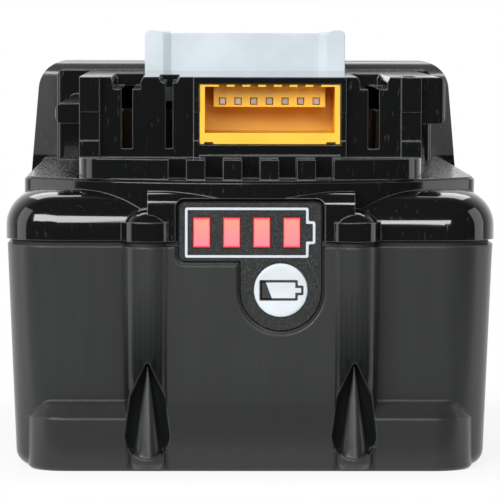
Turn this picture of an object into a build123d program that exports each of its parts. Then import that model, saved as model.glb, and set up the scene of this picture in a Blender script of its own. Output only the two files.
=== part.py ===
"""Slide-on battery pack of a cordless tool, made of the pieces it comes apart into.

The frame stands on the base: X runs across the pack, +Y from the terminal end, which enters the tool
first, to the release button, and +Z up. The origin lies under the middle of the pack. Millimetres.
"""

from build123d import *

import math
import os

# Cells, lying across the pack in columns and layers
cell_diameter = 18.3
cell_length = 65.0
cell_columns = 5
cell_layers = 2

# Cell holders, one at each end of the cells
bore_clearance = 0.05
column_web = 0.3
layer_web = 0.2
holder_depth = 13.0
holder_end_wall = 1.05
holder_skin = 0.6
holder_lip = 0.9
seat_sides = 8
seat_turn = 22.5
lip_hole_radius = 6.4

# Strips welded across the cell ends, and the sheets over them
strip_thickness = 0.25
strip_width = 13.0
weld_radius = 3.0
sheet_thickness = 0.3
side_clearance = 0.35

# Walls and rooms of the housing
floor_thickness = 1.9
side_wall = 3.2
front_wall = 3.0
rear_wall = 2.4
roof_thickness = 2.0
front_gap = 3.35
rear_gap = 4.95
lead_room = 0.4
slide_wall = 2.0
plan_corner = 8.0
cavity_corner = 4.0
base_radius = 2.6
side_lean = 1.4

# Joint between the two housing halves
reveal_height = 0.8
skirt_height = 7.5
skirt_overhang = 0.2
shoulder_radius = 5.5
room_chamfer = 1.6
gasket_inset = 0.7
gasket_width = 1.1
tongue_clearance = 0.15
tongue_height = 1.4

# Round pillars on the terminal end and the scoops at their feet
pillar_radius = 4.0
pillar_x = 15.7
pillar_dome_drop = 0.6
pillar_foot = 0.4
pillar_lean = 0.4
foot_chamfer = 0.8
scoop_top = 16.6
scoop_waist = 10.9
scoop_bottom = 2.0
scoop_radius = 3.4
scoop_depth = 3.4
ridge_radius = 2.3
tip_radius = 0.4
waist_share = 0.78
crease_height = 10.3
crease_draft = 0.4

# Pad across the foot of the terminal end
pad_inset = 3.5
pad_stand = 1.7
pad_corner = 6.0
pad_height = 8.0
pad_slope_height = 2.4
pad_slope_depth = 1.7
pad_top_radius = 0.8
pad_foot_chamfer = 0.4

# Case screws, driven upwards from the base
boss_radius = 3.3
boss_clearance = 0.4
screw_head_radius = 2.3
screw_head_height = 2.2
screw_radius = 1.4
screw_length = 17.0
screw_head_clearance = 0.2
screw_clearance = 0.1
screw_tip_room = 0.8

# Charge gauge in the terminal end
gauge_setback = 1.5
gauge_width = 21.5
gauge_height = 8.9
gauge_corner = 0.8
gauge_drop = 1.6
gauge_centre_x = -0.15
lobe_radius = 6.1
lobe_drop = 4.4
gauge_rim = 0.6
gauge_rim_depth = 0.6
gauge_gap_depth = 0.8
gauge_clearance = 0.1
bezel_thickness = 1.1
gauge_room = 4.4
gauge_back_wall = 1.2
window_count = 4
window_width = 2.7
window_height = 4.8
window_pitch = 4.55
window_centre_x = -0.68
window_rise = 0.1
guide_thickness = 0.7
board_thickness = 0.8
led_size = 1.4
led_height = 0.6

# Check button and the switch behind it
button_radius = 4.1
button_clearance = 0.1
button_flange = 0.5
button_flange_height = 0.4
button_travel = 0.4
switch_size = 3.4
switch_height = 0.9
switch_corner_share = 0.1
plunger_radius = 0.9
plunger_clearance = 0.05

# Top of the upper housing
plateau_rise = 1.7
plateau_inset = 2.5
plateau_bow = 16.5
plateau_corner = 4.0
plateau_chamfer = 0.4
ledge_rise = 3.1
ledge_bow = 5.0
ledge_depth = 11.0
ledge_corner = 5.0
lip_rise = 0.4
gap_count = 5
gap_width = 2.75
gap_pitch = 5.6
gap_depth = 6.5
slide_rise = 15.5
slide_half_width = 26.3
slide_lead = 12.0
post_width = 3.1
post_lead = 1.2
post_recess_rise = 5.7
post_recess_height = 4.4
post_recess_depth = 0.4
rail_width = 3.75
rail_height = 7.2
low_rail_height = 3.1
rail_setback = 1.2
rail_radius = 1.05
stop_width = 6.0
stop_length = 7.5
stop_radius = 1.2

# Hood over the release button
hood_rise = 1.5
hood_length = 21.0
hood_inset = 0.1
hood_corner = 7.5
hood_draft = 2.05
hood_radius = 5.0
hood_edge_radius = 2.6

# Slots for the tool's blades: where each lies, and the shallow lead-in above it
power_slot_x = 19.0
power_slot_width = 1.7
power_slot_length = 33.0
power_slot_depth = 11.0
lead_in_width = 4.2
lead_in_depth = 1.9
lead_in_chamfer = 0.4
charge_slot_x = 12.5
charge_slot_width = 1.1
charge_slot_length = 24.0
charge_lead_in_width = 2.4
charge_lead_in_depth = 0.9
pocket_width = 2.0
pocket_length = 12.0
pocket_depth = 3.0

# Blade clips under the slots
clip_wall = 0.8
clip_clearance = 0.3
clip_setback = 8.0
clip_height = 11.5
clip_length = 13.0
charge_clip_length = 9.0

# Signal connector
connector_width = 21.6
connector_height = 9.15
connector_depth = 14.0
connector_x = 3.0
connector_cover = 1.05
connector_clearance = 0.1
connector_frame = 0.85
connector_setback = 0.3
connector_cheek = 0.8
connector_lip = 1.7
connector_ceiling = 0.35
connector_back = 2.0
comb_setback = 4.6
comb_height = 3.2
comb_width = 17.3
contact_count = 7
contact_pitch = 2.42
contact_size = 0.9
contact_setback = 0.5
contact_hole = 1.1
contact_inset = 0.9
notch_width = 1.2
notch_depth = 4.0
lip_notch_width = 1.4
lip_notch_height = 0.3
lip_notch_depth = 1.6

# Main board, its carrier and what it carries
carrier_thickness = 1.0
carrier_clearance = 0.3
main_board_thickness = 1.6
main_board_length = 58.0
board_margin = 1.2
chip_size = 7.0
chip_height = 1.2
fet_width = 6.5
fet_length = 5.0
fet_height = 2.2
lead_thickness = 0.3
lead_width = 7.0
lead_foot = 1.5
ribbon_width = 6.0
ribbon_thickness = 0.3
ribbon_drop = 1.4
ribbon_clearance = 0.15
thermistor_radius = 1.1
thermistor_length = 4.0

# Release latch: hook, arm and thumb button in one moulding
hook_half_width = 17.05
hook_rise = 6.4
hook_rib_rise = 0.5
hook_rib_width = 4.5
hook_rib_slope = 1.4
hook_rib_radius = 0.8
hook_thickness = 2.6
hook_slope = 2.4
hook_rib_stand = 0.7
hook_lead = 14.0
slit_half_width = 10.5
slit_width = 3.2
latch_clearance = 0.3
latch_travel = 6.0
arm_thickness = 2.5
arm_half_width = 11.5
arm_drop = 2.7
button_half_width = 15.5
button_height = 9.2
button_thickness = 3.0
button_top_drop = 4.0
button_corner = 2.0
button_recess = 1.2
grip_count = 5
grip_height = 0.9
grip_stand = 0.5
pocket_floor_wall = 1.6

# Springs under the latch
spring_radius = 2.3
spring_wire = 0.3
spring_sides = 4
spring_turns = 3
spring_x = 7.5
spring_setback = 6.5
spring_pin_radius = 1.4
spring_pin_height = 1.8

# What follows from the sizes above, across the pack
bore_radius = cell_diameter / 2 + bore_clearance
column_pitch = 2 * bore_radius + column_web
layer_pitch = 2 * bore_radius + layer_web
holder_face = cell_length / 2 + holder_lip
strip_face = holder_face + strip_thickness
sheet_face = strip_face + sheet_thickness
cavity_half_width = sheet_face + side_clearance
half_width = cavity_half_width + side_wall
plateau_half_width = half_width - plateau_inset
hood_half_width = half_width - hood_inset
pad_half_width = half_width - pad_inset
slide_inner = slide_half_width - slide_wall

# Levels above the base
first_layer_z = floor_thickness + holder_skin + bore_radius
top_layer_z = first_layer_z + (cell_layers - 1) * layer_pitch
holder_top_z = top_layer_z + bore_radius + holder_skin
roof_z = holder_top_z + lead_room
shoulder_z = roof_z + roof_thickness
skirt_z = shoulder_z - skirt_height
split_z = skirt_z - reveal_height
plateau_z = shoulder_z + plateau_rise
ledge_z = plateau_z + ledge_rise
slide_z = plateau_z + slide_rise
hood_z = slide_z + hood_rise
carrier_top_z = holder_top_z + carrier_thickness
board_top_z = carrier_top_z + main_board_thickness
arm_top_z = slide_z - arm_drop
arm_bottom_z = arm_top_z - arm_thickness
button_top_z = hood_z - button_top_drop
button_bottom_z = button_top_z - button_height

# Places along the pack, from the nearest face of the pillars to the button end
bank_half_length = (cell_columns - 1) / 2 * column_pitch + bore_radius + holder_end_wall
pack_length = pillar_radius + front_wall + front_gap + 2 * bank_half_length + rear_gap + rear_wall
front_y = -pack_length / 2
rear_y = pack_length / 2
panel_y = front_y + pillar_radius
body_length = rear_y - panel_y
body_y = (rear_y + panel_y) / 2
cavity_front_y = panel_y + front_wall
cavity_rear_y = rear_y - rear_wall
cavity_length = cavity_rear_y - cavity_front_y
cavity_y = (cavity_front_y + cavity_rear_y) / 2
bank_y = cavity_front_y + front_gap + bank_half_length
bank_reach = (cell_columns - 1) / 2 * column_pitch + cell_diameter / 2
front_screw_y = bank_y - bank_reach - boss_clearance - boss_radius
rear_screw_y = bank_y + bank_reach + boss_clearance + boss_radius
screw_places = [(side * pillar_x, y) for y in (front_screw_y, rear_screw_y) for side in (-1, 1)]
gauge_y = front_y + gauge_setback
gauge_floor_y = gauge_y + gauge_rim_depth + gauge_room
gauge_wall_y = gauge_floor_y + gauge_back_wall
pad_y = panel_y - pad_stand
slide_y = front_y + slide_lead
slide_face_y = slide_y + post_lead
slide_room_y = slide_face_y + slide_wall
connector_y = slide_y + connector_setback
carrier_y = slide_room_y + board_margin
hood_y = rear_y - hood_length
hook_y = hood_y - hook_lead
button_y = rear_y - button_recess - grip_stand - button_thickness
pocket_y = button_y - latch_clearance
room_rear_y = pocket_y - pocket_floor_wall

# Gauge outline
gauge_top_z = shoulder_z - gauge_drop
gauge_z = gauge_top_z - gauge_height / 2
lobe_x = gauge_centre_x + gauge_width / 2 - lobe_radius
lobe_z = gauge_top_z - gauge_height - lobe_drop
window_xs = [window_centre_x + (i - (window_count - 1) / 2) * window_pitch for i in range(window_count)]
window_z = gauge_z - window_rise
bezel_face_y = gauge_y + gauge_rim_depth
bezel_back_y = bezel_face_y + bezel_thickness
gauge_board_y = gauge_floor_y - board_thickness
gauge_keep = gauge_width + 2 * (gauge_clearance + gauge_back_wall)
ribbon_z = gauge_top_z - ribbon_drop

# Screws and their bores
screw_tip_z = shoulder_z - roof_thickness - screw_tip_room
screw_seat_z = screw_tip_z - screw_length

# Turn of the pillars, which stand out of the panel by one half
half_turn = 180

# Every blade slot: place, width, length, and width and depth of its lead-in
slot_table = [
    (-power_slot_x, power_slot_width, power_slot_length, lead_in_width, lead_in_depth),
    (power_slot_x, power_slot_width, power_slot_length, lead_in_width, lead_in_depth),
    (-charge_slot_x, charge_slot_width, charge_slot_length, charge_lead_in_width, charge_lead_in_depth),
]

contact_xs = [connector_x + (i - (contact_count - 1) / 2) * contact_pitch for i in range(contact_count)]

columns = range(cell_columns)
layers = range(cell_layers)


def column_y(column):
    """Centre of one column of cells along the pack."""
    return bank_y + (column - (cell_columns - 1) / 2) * column_pitch


def layer_z(layer):
    """Centre of one layer of cells above the base."""
    return first_layer_z + layer * layer_pitch


def block(x_span, y_span, z_span, mode=Mode.ADD):
    """A box between two limits along each axis, in the piece being built."""
    spans = (x_span, y_span, z_span)
    sizes = [high - low for low, high in spans]
    with Locations(tuple((low + high) / 2 for low, high in spans)):
        Box(*sizes, mode=mode)


def body_outline(inset):
    """Rounded plan of the housing without its pillars, drawn in by an inset."""
    with BuildSketch() as outline:
        with Locations((0, body_y)):
            RectangleRounded(2 * (half_width - inset), body_length - 2 * inset, plan_corner - inset)
    return outline.sketch


def plan_outline(inset):
    """Plan of the housing with pillars and gauge front, drawn in by an inset."""
    with BuildSketch() as outline:
        add(body_outline(inset))
        with Locations((0, (gauge_y + inset + body_y) / 2)):
            Rectangle(2 * pillar_x, body_y - gauge_y - inset)
        with Locations((-pillar_x, panel_y), (pillar_x, panel_y)):
            Circle(pillar_radius - inset)
    return outline.sketch


def gauge_outline(grow, face_y):
    """Outline of the gauge, a rectangle with a round lobe, on a face across the pack."""
    with BuildSketch(Plane.XZ.offset(-face_y)) as outline:
        with Locations((gauge_centre_x, gauge_z)):
            RectangleRounded(gauge_width + 2 * grow, gauge_height + 2 * grow, gauge_corner + grow)
        with Locations((lobe_x, (lobe_z + gauge_z) / 2)):
            Rectangle(2 * (lobe_radius + grow), gauge_z - lobe_z)
        with Locations((lobe_x, lobe_z)):
            Circle(lobe_radius + grow)
    return outline.sketch


def gauge_pocket():
    """Room for the gauge: a deep pocket with a narrow gap round its mouth."""
    with BuildPart() as pocket:
        with BuildSketch(Plane.XZ.offset(-front_y)):
            add(gauge_outline(gauge_rim, front_y))
        extrude(amount=-(gauge_setback + gauge_rim_depth + gauge_gap_depth))
        with BuildSketch(Plane.XZ.offset(-gauge_y)):
            add(gauge_outline(gauge_clearance, gauge_y))
        extrude(amount=-(gauge_floor_y - gauge_y))
    return pocket.part


def scoop(side):
    """Teardrop hollow at the foot of a pillar, with a cone left standing in it."""
    with BuildPart() as hollow:
        with BuildSketch(Plane.XZ.offset(-front_y)):
            with Locations((side * pillar_x, scoop_bottom + scoop_radius)):
                Circle(scoop_radius)
            with Locations((side * pillar_x, scoop_waist)):
                Circle(scoop_radius * waist_share)
            with Locations((side * pillar_x, scoop_top - tip_radius)):
                Circle(tip_radius)
            make_hull()
        extrude(amount=-scoop_depth)
        with BuildSketch(Plane.XZ.offset(-front_y)):
            with Locations((side * pillar_x, scoop_bottom + scoop_radius)):
                Circle(scoop_radius)
        extrude(amount=-scoop_depth)
        ridge_height = scoop_top - scoop_bottom
        with Locations((side * pillar_x, front_y + scoop_depth, scoop_bottom + ridge_height / 2)):
            Cone(ridge_radius, tip_radius / 2, ridge_height, mode=Mode.SUBTRACT)
    return hollow.part


def pad():
    """Raised pad across the foot of the terminal end, sloping back to the panel at its top."""
    with BuildPart() as blank:
        for low_z, height, taper in (
            (0, pad_height, 0),
            (pad_height, pad_slope_height, math.degrees(math.atan2(pad_slope_depth, pad_slope_height))),
        ):
            with BuildSketch(Plane.XY.offset(low_z)):
                with Locations((0, (pad_y + body_y) / 2)):
                    RectangleRounded(2 * pad_half_width, body_y - pad_y, pad_corner)
            extrude(amount=height, taper=taper)
        fillet(blank.faces().sort_by(Axis.Z)[-1].edges(), pad_top_radius)
        chamfer(blank.faces().sort_by(Axis.Z)[0].edges(), pad_foot_chamfer)
    return blank.part


def make_lower_case():
    """Tub under the parting line, with pillars, screw bosses and the tongue that enters the upper half."""
    with BuildPart() as lower_case:
        with BuildSketch(Plane.XY):
            add(body_outline(skirt_overhang + side_lean))
        extrude(amount=split_z, taper=-math.degrees(math.atan2(side_lean, split_z)))
        fillet(lower_case.faces().sort_by(Axis.Z)[0].edges(), base_radius)
        for side in (-1, 1):
            with BuildSketch(Plane.XZ.offset(-panel_y)) as pillar_profile:
                with BuildLine():
                    axis_x = side * pillar_x
                    top_x = axis_x + pillar_radius - skirt_overhang
                    foot_x = top_x - pillar_lean
                    top = (top_x, split_z)
                    foot = (foot_x, pillar_foot)
                    Polyline((axis_x, pillar_foot), (axis_x, split_z), top, foot, close=True)
                make_face()
                chamfer(pillar_profile.vertices().group_by(Axis.Y)[0].sort_by(Axis.X)[-1], foot_chamfer)
            revolve(axis=Axis((axis_x, panel_y, 0), (0, 0, -1)), revolution_arc=half_turn)
        with BuildSketch(Plane.YZ):
            with BuildLine():
                Polyline(
                    (body_y, split_z),
                    (gauge_y + skirt_overhang, split_z),
                    (gauge_y + crease_draft, crease_height),
                    (pad_y, pillar_foot),
                    (body_y, pillar_foot),
                    close=True,
                )
            make_face()
        extrude(amount=pillar_x, both=True)
        add(pad())
        with BuildSketch(Plane.XY.offset(floor_thickness)):
            with Locations((0, cavity_y)):
                RectangleRounded(2 * cavity_half_width, cavity_length, cavity_corner)
            with Locations(*screw_places):
                Circle(boss_radius, mode=Mode.SUBTRACT)
            with Locations((gauge_centre_x, front_y)):
                Rectangle(gauge_keep, 2 * (gauge_wall_y - front_y), mode=Mode.SUBTRACT)
        extrude(amount=split_z, mode=Mode.SUBTRACT)
        tongue_inset = gasket_inset + skirt_overhang + gasket_width + tongue_clearance
        with BuildSketch(Plane.XY.offset(split_z)):
            add(body_outline(tongue_inset))
            with Locations((0, cavity_y)):
                RectangleRounded(2 * cavity_half_width, cavity_length, cavity_corner, mode=Mode.SUBTRACT)
            with Locations(*screw_places):
                Circle(boss_radius + tongue_clearance, mode=Mode.SUBTRACT)
            with Locations((gauge_centre_x, front_y)):
                Rectangle(2 * pillar_x, 2 * (gauge_wall_y + tongue_clearance - front_y), mode=Mode.SUBTRACT)
        extrude(amount=reveal_height + tongue_height)
        with Locations(*[Location((x, y, 0), (180, 0, 0)) for x, y in screw_places]):
            CounterBoreHole(
                screw_radius + screw_clearance,
                screw_head_radius + screw_head_clearance,
                screw_seat_z,
                split_z,
            )
        add(gauge_pocket(), mode=Mode.SUBTRACT)
        for side in (-1, 1):
            add(scoop(side), mode=Mode.SUBTRACT)
    return lower_case


def bowed_outline(half_width_here, front, bow, back, corner):
    """Plan with a front edge that bows forward in the middle, rounded front corners and a straight back."""
    with BuildSketch() as outline:
        with BuildLine():
            left = (-half_width_here, front + bow)
            right = (half_width_here, front + bow)
            ThreePointArc(left, (0, front), right)
            Polyline(right, (half_width_here, back), (-half_width_here, back), left)
        make_face()
        fillet(outline.vertices().group_by(Axis.Y)[0], corner)
    return outline.sketch


def make_plateau():
    """Low step on the shoulder, under the ledge and the slide block, with its upper edge broken."""
    with BuildPart() as plateau:
        low_z = skirt_z + skirt_height / 2
        back_y = rear_y - shoulder_radius
        with BuildSketch(Plane.XY.offset(low_z)):
            add(bowed_outline(plateau_half_width, gauge_y, plateau_bow, back_y, plateau_corner))
        extrude(amount=plateau_z - low_z)
        chamfer(plateau.faces().sort_by(Axis.Z)[-1].edges(), plateau_chamfer)
    return plateau.part


def side_bar(side, width, front, low_z, high_z, radius):
    """Bar along one side of the slide block, run into the hood, with its outer edges rounded."""
    with BuildPart() as bar:
        inner_x = side * slide_inner
        outer_x = side * (slide_half_width + width)
        block((min(inner_x, outer_x), max(inner_x, outer_x)), (front, hood_y + slide_wall), (low_z, high_z))
        outer_face = bar.faces().filter_by(Axis.X).sort_by(Axis.X, reverse=side > 0)[0]
        fillet(outer_face.edges(), radius)
    return bar.part


def make_hood():
    """Hood over the thumb button, rolled over at its sides and far end, with a round front brow."""
    with BuildPart() as hood:
        low_z = shoulder_z - shoulder_radius
        height = hood_z - low_z
        blank_length = hood_length + plan_corner
        with BuildSketch(Plane.XY.offset(low_z)):
            with Locations((0, rear_y - hood_inset - blank_length / 2)):
                RectangleRounded(2 * hood_half_width, blank_length, hood_corner)
        extrude(amount=height, taper=math.degrees(math.atan2(hood_draft, height)))
        fillet(hood.faces().sort_by(Axis.Z)[-1].edges(), hood_radius)
        split(bisect_by=Plane.XZ.offset(-hood_y), keep=Keep.BOTTOM)
        with BuildSketch(Plane.YZ):
            with BuildLine():
                brow = (hood_y, hood_z - hood_edge_radius)
                crown = (hood_y + hood_edge_radius, hood_z)
                TangentArc(brow, crown, tangent=(0, 1))
                over_z = hood_z + hood_edge_radius
                Polyline(crown, (hood_y + hood_edge_radius, over_z), (hood_y, over_z), brow)
            make_face()
        extrude(amount=half_width, both=True, mode=Mode.SUBTRACT)
    return hood.part


def make_upper_case():
    """Upper half: skirt, shoulder, plateau, castellated ledge, slide block with rails, and hood."""
    with BuildPart() as upper_case:
        with BuildSketch(Plane.XY.offset(skirt_z)):
            add(body_outline(0))
        extrude(amount=skirt_height)
        fillet(upper_case.faces().sort_by(Axis.Z)[-1].edges(), shoulder_radius)
        dome_z = shoulder_z - pillar_dome_drop - pillar_radius
        for side in (-1, 1):
            with BuildSketch(Plane.XY.offset(skirt_z)):
                with Locations((side * pillar_x, panel_y)):
                    Circle(pillar_radius)
            extrude(amount=dome_z - skirt_z)
            with Locations((side * pillar_x, panel_y, dome_z)):
                Sphere(pillar_radius, arc_size1=0)
        with BuildSketch(Plane.YZ):
            with BuildLine():
                brow_z = shoulder_z - pillar_radius / 2
                Polyline(
                    (gauge_y + pillar_radius / 2, shoulder_z),
                    (body_y, shoulder_z),
                    (body_y, skirt_z),
                    (gauge_y, skirt_z),
                    (gauge_y, brow_z),
                )
                TangentArc((gauge_y, brow_z), (gauge_y + pillar_radius / 2, shoulder_z), tangent=(0, 1))
            make_face()
        extrude(amount=pillar_x, both=True)
        add(make_plateau())
        with BuildSketch(Plane.XY.offset(plateau_z)):
            add(bowed_outline(slide_half_width, panel_y, ledge_bow, slide_y + ledge_depth, ledge_corner))
            for index in range(gap_count):
                with Locations(((index - (gap_count - 1) / 2) * gap_pitch, panel_y)):
                    Rectangle(gap_width, 2 * gap_depth, mode=Mode.SUBTRACT)
        extrude(amount=ledge_rise)
        block(
            (connector_x - connector_width / 2, connector_x + connector_width / 2),
            (panel_y + gap_depth, slide_face_y),
            (ledge_z, ledge_z + lip_rise),
        )
        with BuildSketch(Plane.XY.offset(plateau_z)):
            with Locations((0, (slide_face_y + hood_y + slide_wall) / 2)):
                Rectangle(2 * slide_half_width, hood_y + slide_wall - slide_face_y)
            for side in (-1, 1):
                with Locations((side * (slide_half_width - post_width / 2), slide_y + ledge_depth / 2)):
                    Rectangle(post_width, ledge_depth)
            frame_width = connector_width + 2 * (connector_clearance + connector_frame)
            with Locations((connector_x, (slide_y + slide_room_y) / 2)):
                Rectangle(frame_width, slide_room_y - slide_y)
        extrude(amount=slide_rise)
        rail_bottom_z = slide_z - rail_height
        rail_y = slide_y + rail_setback
        add(side_bar(1, rail_width, rail_y, rail_bottom_z, slide_z, rail_radius))
        add(side_bar(-1, rail_width, rail_y, rail_bottom_z, rail_bottom_z + low_rail_height, rail_radius))
        for side in (-1, 1):
            add(side_bar(side, stop_width, hood_y - stop_length, shoulder_z, slide_z, stop_radius))
        add(make_hood())
        add(upper_rooms(), mode=Mode.SUBTRACT)
        add(gauge_pocket(), mode=Mode.SUBTRACT)
        ribbon_half = ribbon_width / 2 + ribbon_clearance
        block(
            (gauge_centre_x - ribbon_half, gauge_centre_x + ribbon_half),
            (gauge_floor_y, gauge_wall_y),
            (ribbon_z - ribbon_clearance, ribbon_z + ribbon_thickness + ribbon_clearance),
            mode=Mode.SUBTRACT,
        )
        add(latch_ways(), mode=Mode.SUBTRACT)
        add(slide_openings(), mode=Mode.SUBTRACT)
    return upper_case


def upper_rooms():
    """Hollows of the upper half, with the posts for the screws left standing."""
    with BuildPart() as rooms:
        with BuildSketch(Plane.XY.offset(skirt_z)):
            add(body_outline(gasket_inset + skirt_overhang + gasket_width))
        extrude(amount=roof_z - skirt_z)
        chamfer(rooms.faces().sort_by(Axis.Z)[-1].edges(), room_chamfer)
        with BuildSketch(Plane.XY.offset(skirt_z)):
            with Locations(*screw_places):
                Circle(boss_radius)
            with Locations((gauge_centre_x, front_y)):
                Rectangle(gauge_keep, 2 * (gauge_wall_y - front_y))
        extrude(amount=roof_z - skirt_z, mode=Mode.SUBTRACT)
        block((-slide_inner, slide_inner), (slide_room_y, room_rear_y), (roof_z, slide_z - slide_wall))
        for side in (-1, 1):
            inner = side * slide_half_width
            outer = side * (hood_half_width - hood_draft - slide_wall)
            block(
                (min(inner, outer), max(inner, outer)),
                (hood_y + slide_wall, room_rear_y),
                (roof_z, hood_z - hood_radius),
            )
        with BuildSketch(Plane.XY.offset(skirt_z)):
            with Locations(*screw_places):
                Circle(screw_radius - screw_clearance)
        extrude(amount=screw_tip_z - skirt_z + screw_tip_room / 2)
    return rooms.part


def latch_ways():
    """Pocket for the thumb button, window for the arm and slot for the hook."""
    with BuildPart() as ways:
        pocket_low_z = button_bottom_z - latch_travel - latch_clearance
        pocket_top_z = button_top_z + latch_clearance
        with BuildSketch(Plane.XZ.offset(-rear_y)):
            with Locations((0, (pocket_top_z + pocket_low_z) / 2)):
                RectangleRounded(
                    2 * (button_half_width + latch_clearance),
                    pocket_top_z - pocket_low_z,
                    button_corner + latch_clearance,
                )
        extrude(amount=rear_y - pocket_y)
        block(
            (-arm_half_width - latch_clearance, arm_half_width + latch_clearance),
            (room_rear_y, pocket_y),
            (arm_bottom_z - latch_travel - latch_clearance, arm_top_z + latch_clearance),
        )
        hook_back_y = hook_y + hook_thickness + hook_slope
        roof_span = (slide_z - slide_wall, slide_z)
        block(
            (-hook_half_width - latch_clearance, hook_half_width + latch_clearance),
            (hook_y - hook_rib_stand - latch_clearance, hook_back_y + latch_clearance),
            roof_span,
        )
        block((-slit_half_width, slit_half_width), (hook_y - slit_width, hook_y), roof_span)
    return ways.part


def blade_slot(x, width, length, lead_width, lead_depth):
    """Keyhole groove for a blade: a chamfered lead-in over a narrow slot, open at the front."""
    with BuildPart() as groove:
        with BuildSketch(Plane.XZ.offset(-slide_y)):
            for side in (-1, 1):
                with BuildLine():
                    lead_x = x + side * lead_width / 2
                    slot_x = x + side * width / 2
                    Polyline(
                        (x, slide_z),
                        (lead_x + side * lead_in_chamfer, slide_z),
                        (lead_x, slide_z - 2 * lead_in_chamfer),
                        (lead_x, slide_z - lead_depth),
                        (slot_x, slide_z - lead_depth),
                        (slot_x, slide_z - power_slot_depth),
                        (x, slide_z - power_slot_depth),
                        close=True,
                    )
                make_face()
        extrude(amount=-(slide_face_y + length - slide_y))
    return groove.part


def slide_openings():
    """Blade slots with their lead-ins, the small pocket and the connector's opening."""
    with BuildPart() as openings:
        for x, width, length, lead_width, lead_depth in slot_table:
            add(blade_slot(x, width, length, lead_width, lead_depth))
        pocket_x = slide_half_width - post_width / 2
        block(
            (pocket_x - pocket_width / 2, pocket_x + pocket_width / 2),
            (slide_face_y, slide_face_y + pocket_length),
            (slide_z - pocket_depth, slide_z),
        )
        recess_z = plateau_z + post_recess_rise
        block(
            (-slide_half_width, slide_half_width),
            (slide_y, slide_y + post_recess_depth),
            (recess_z, recess_z + post_recess_height),
        )
        half = connector_width / 2 + connector_clearance
        top = slide_z - connector_cover
        block(
            (connector_x - half, connector_x + half),
            (slide_y, slide_face_y + connector_depth + connector_clearance),
            (top - connector_height - 2 * connector_clearance, top),
        )
    return openings.part


def make_case_gasket():
    """Seal in the reveal between the housing halves, with a washer round each screw."""
    with BuildPart() as case_gasket:
        inset = gasket_inset + skirt_overhang
        with BuildSketch(Plane.XY.offset(split_z)):
            add(plan_outline(inset))
            add(plan_outline(inset + gasket_width), mode=Mode.SUBTRACT)
            with Locations(*screw_places):
                Circle(boss_radius)
            half_keep = gauge_width / 2 + gauge_clearance + gauge_back_wall
            with Locations((gauge_centre_x, gauge_wall_y - gauge_back_wall / 2)):
                Rectangle(2 * pillar_x, gauge_back_wall)
            with Locations((gauge_centre_x, front_y)):
                pocket_half = half_keep - gauge_back_wall
                Rectangle(2 * pocket_half, 2 * (gauge_floor_y - front_y), mode=Mode.SUBTRACT)
            with Locations(*screw_places):
                Circle(screw_radius + screw_clearance, mode=Mode.SUBTRACT)
        extrude(amount=reveal_height)
    return case_gasket


def make_case_screws():
    """Four long screws, heads down, from the base bosses into the upper half's posts."""
    with BuildPart() as case_screws:
        for x, y in screw_places:
            with BuildSketch(Plane.XY.offset(screw_seat_z - screw_head_height)):
                with Locations((x, y)):
                    Circle(screw_head_radius)
            extrude(amount=screw_head_height)
            with BuildSketch(Plane.XY.offset(screw_seat_z)):
                with Locations((x, y)):
                    Circle(screw_radius - screw_clearance)
            extrude(amount=screw_length)
    return case_screws


def make_gauge_bezel():
    """Dark face of the gauge, with a window for each light and a hole for the button."""
    with BuildPart() as gauge_bezel:
        with BuildSketch(Plane.XZ.offset(-bezel_face_y)):
            add(gauge_outline(0, bezel_face_y))
            with Locations(*[(x, window_z) for x in window_xs]):
                Rectangle(window_width, window_height, mode=Mode.SUBTRACT)
            with Locations((lobe_x, lobe_z)):
                Circle(button_radius + button_clearance, mode=Mode.SUBTRACT)
        extrude(amount=-bezel_thickness)
    return gauge_bezel


def make_light_guide():
    """Clear bar behind the bezel, with one lens standing in each window."""
    with BuildPart() as light_guide:
        guide_y = bezel_back_y
        with BuildSketch(Plane.XZ.offset(-guide_y)):
            with Locations((window_centre_x, window_z)):
                guide_length = (window_count - 1) * window_pitch + window_width + guide_thickness
                Rectangle(guide_length, window_height + guide_thickness)
        extrude(amount=-guide_thickness)
        with BuildSketch(Plane.XZ.offset(-guide_y)):
            with Locations(*[(x, window_z) for x in window_xs]):
                Rectangle(window_width - 2 * button_clearance, window_height - 2 * button_clearance)
        extrude(amount=bezel_thickness - button_clearance)
    return light_guide


def make_check_button():
    """Round button in the lobe, held behind the bezel by its flange."""
    with BuildPart() as check_button:
        flange_y = bezel_back_y + button_clearance / 2
        with BuildSketch(Plane.XZ.offset(-flange_y)):
            with Locations((lobe_x, lobe_z)):
                Circle(button_radius)
        extrude(amount=bezel_thickness)
        with BuildSketch(Plane.XZ.offset(-flange_y)):
            with Locations((lobe_x, lobe_z)):
                Circle(button_radius + button_flange)
        extrude(amount=-button_flange_height)
    return check_button


def make_gauge_board():
    """Small board against the back of the gauge pocket."""
    with BuildPart() as gauge_board:
        with BuildSketch(Plane.XZ.offset(-gauge_board_y)):
            add(gauge_outline(-gauge_clearance, gauge_board_y))
        extrude(amount=-board_thickness)
    return gauge_board


def make_gauge_leds():
    """One lamp behind each window."""
    with BuildPart() as gauge_leds:
        with BuildSketch(Plane.XZ.offset(-gauge_board_y)):
            with Locations(*[(x, window_z) for x in window_xs]):
                Rectangle(led_size, led_size)
        extrude(amount=led_height)
    return gauge_leds


def make_switch_body():
    """Low switch on the gauge board, with a bore for its plunger."""
    with BuildPart() as switch_body:
        with BuildSketch(Plane.XZ.offset(-gauge_board_y)):
            with Locations((lobe_x, lobe_z)):
                RectangleRounded(switch_size, switch_size, switch_size * switch_corner_share)
                Circle(plunger_radius + plunger_clearance, mode=Mode.SUBTRACT)
        extrude(amount=switch_height)
    return switch_body


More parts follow.
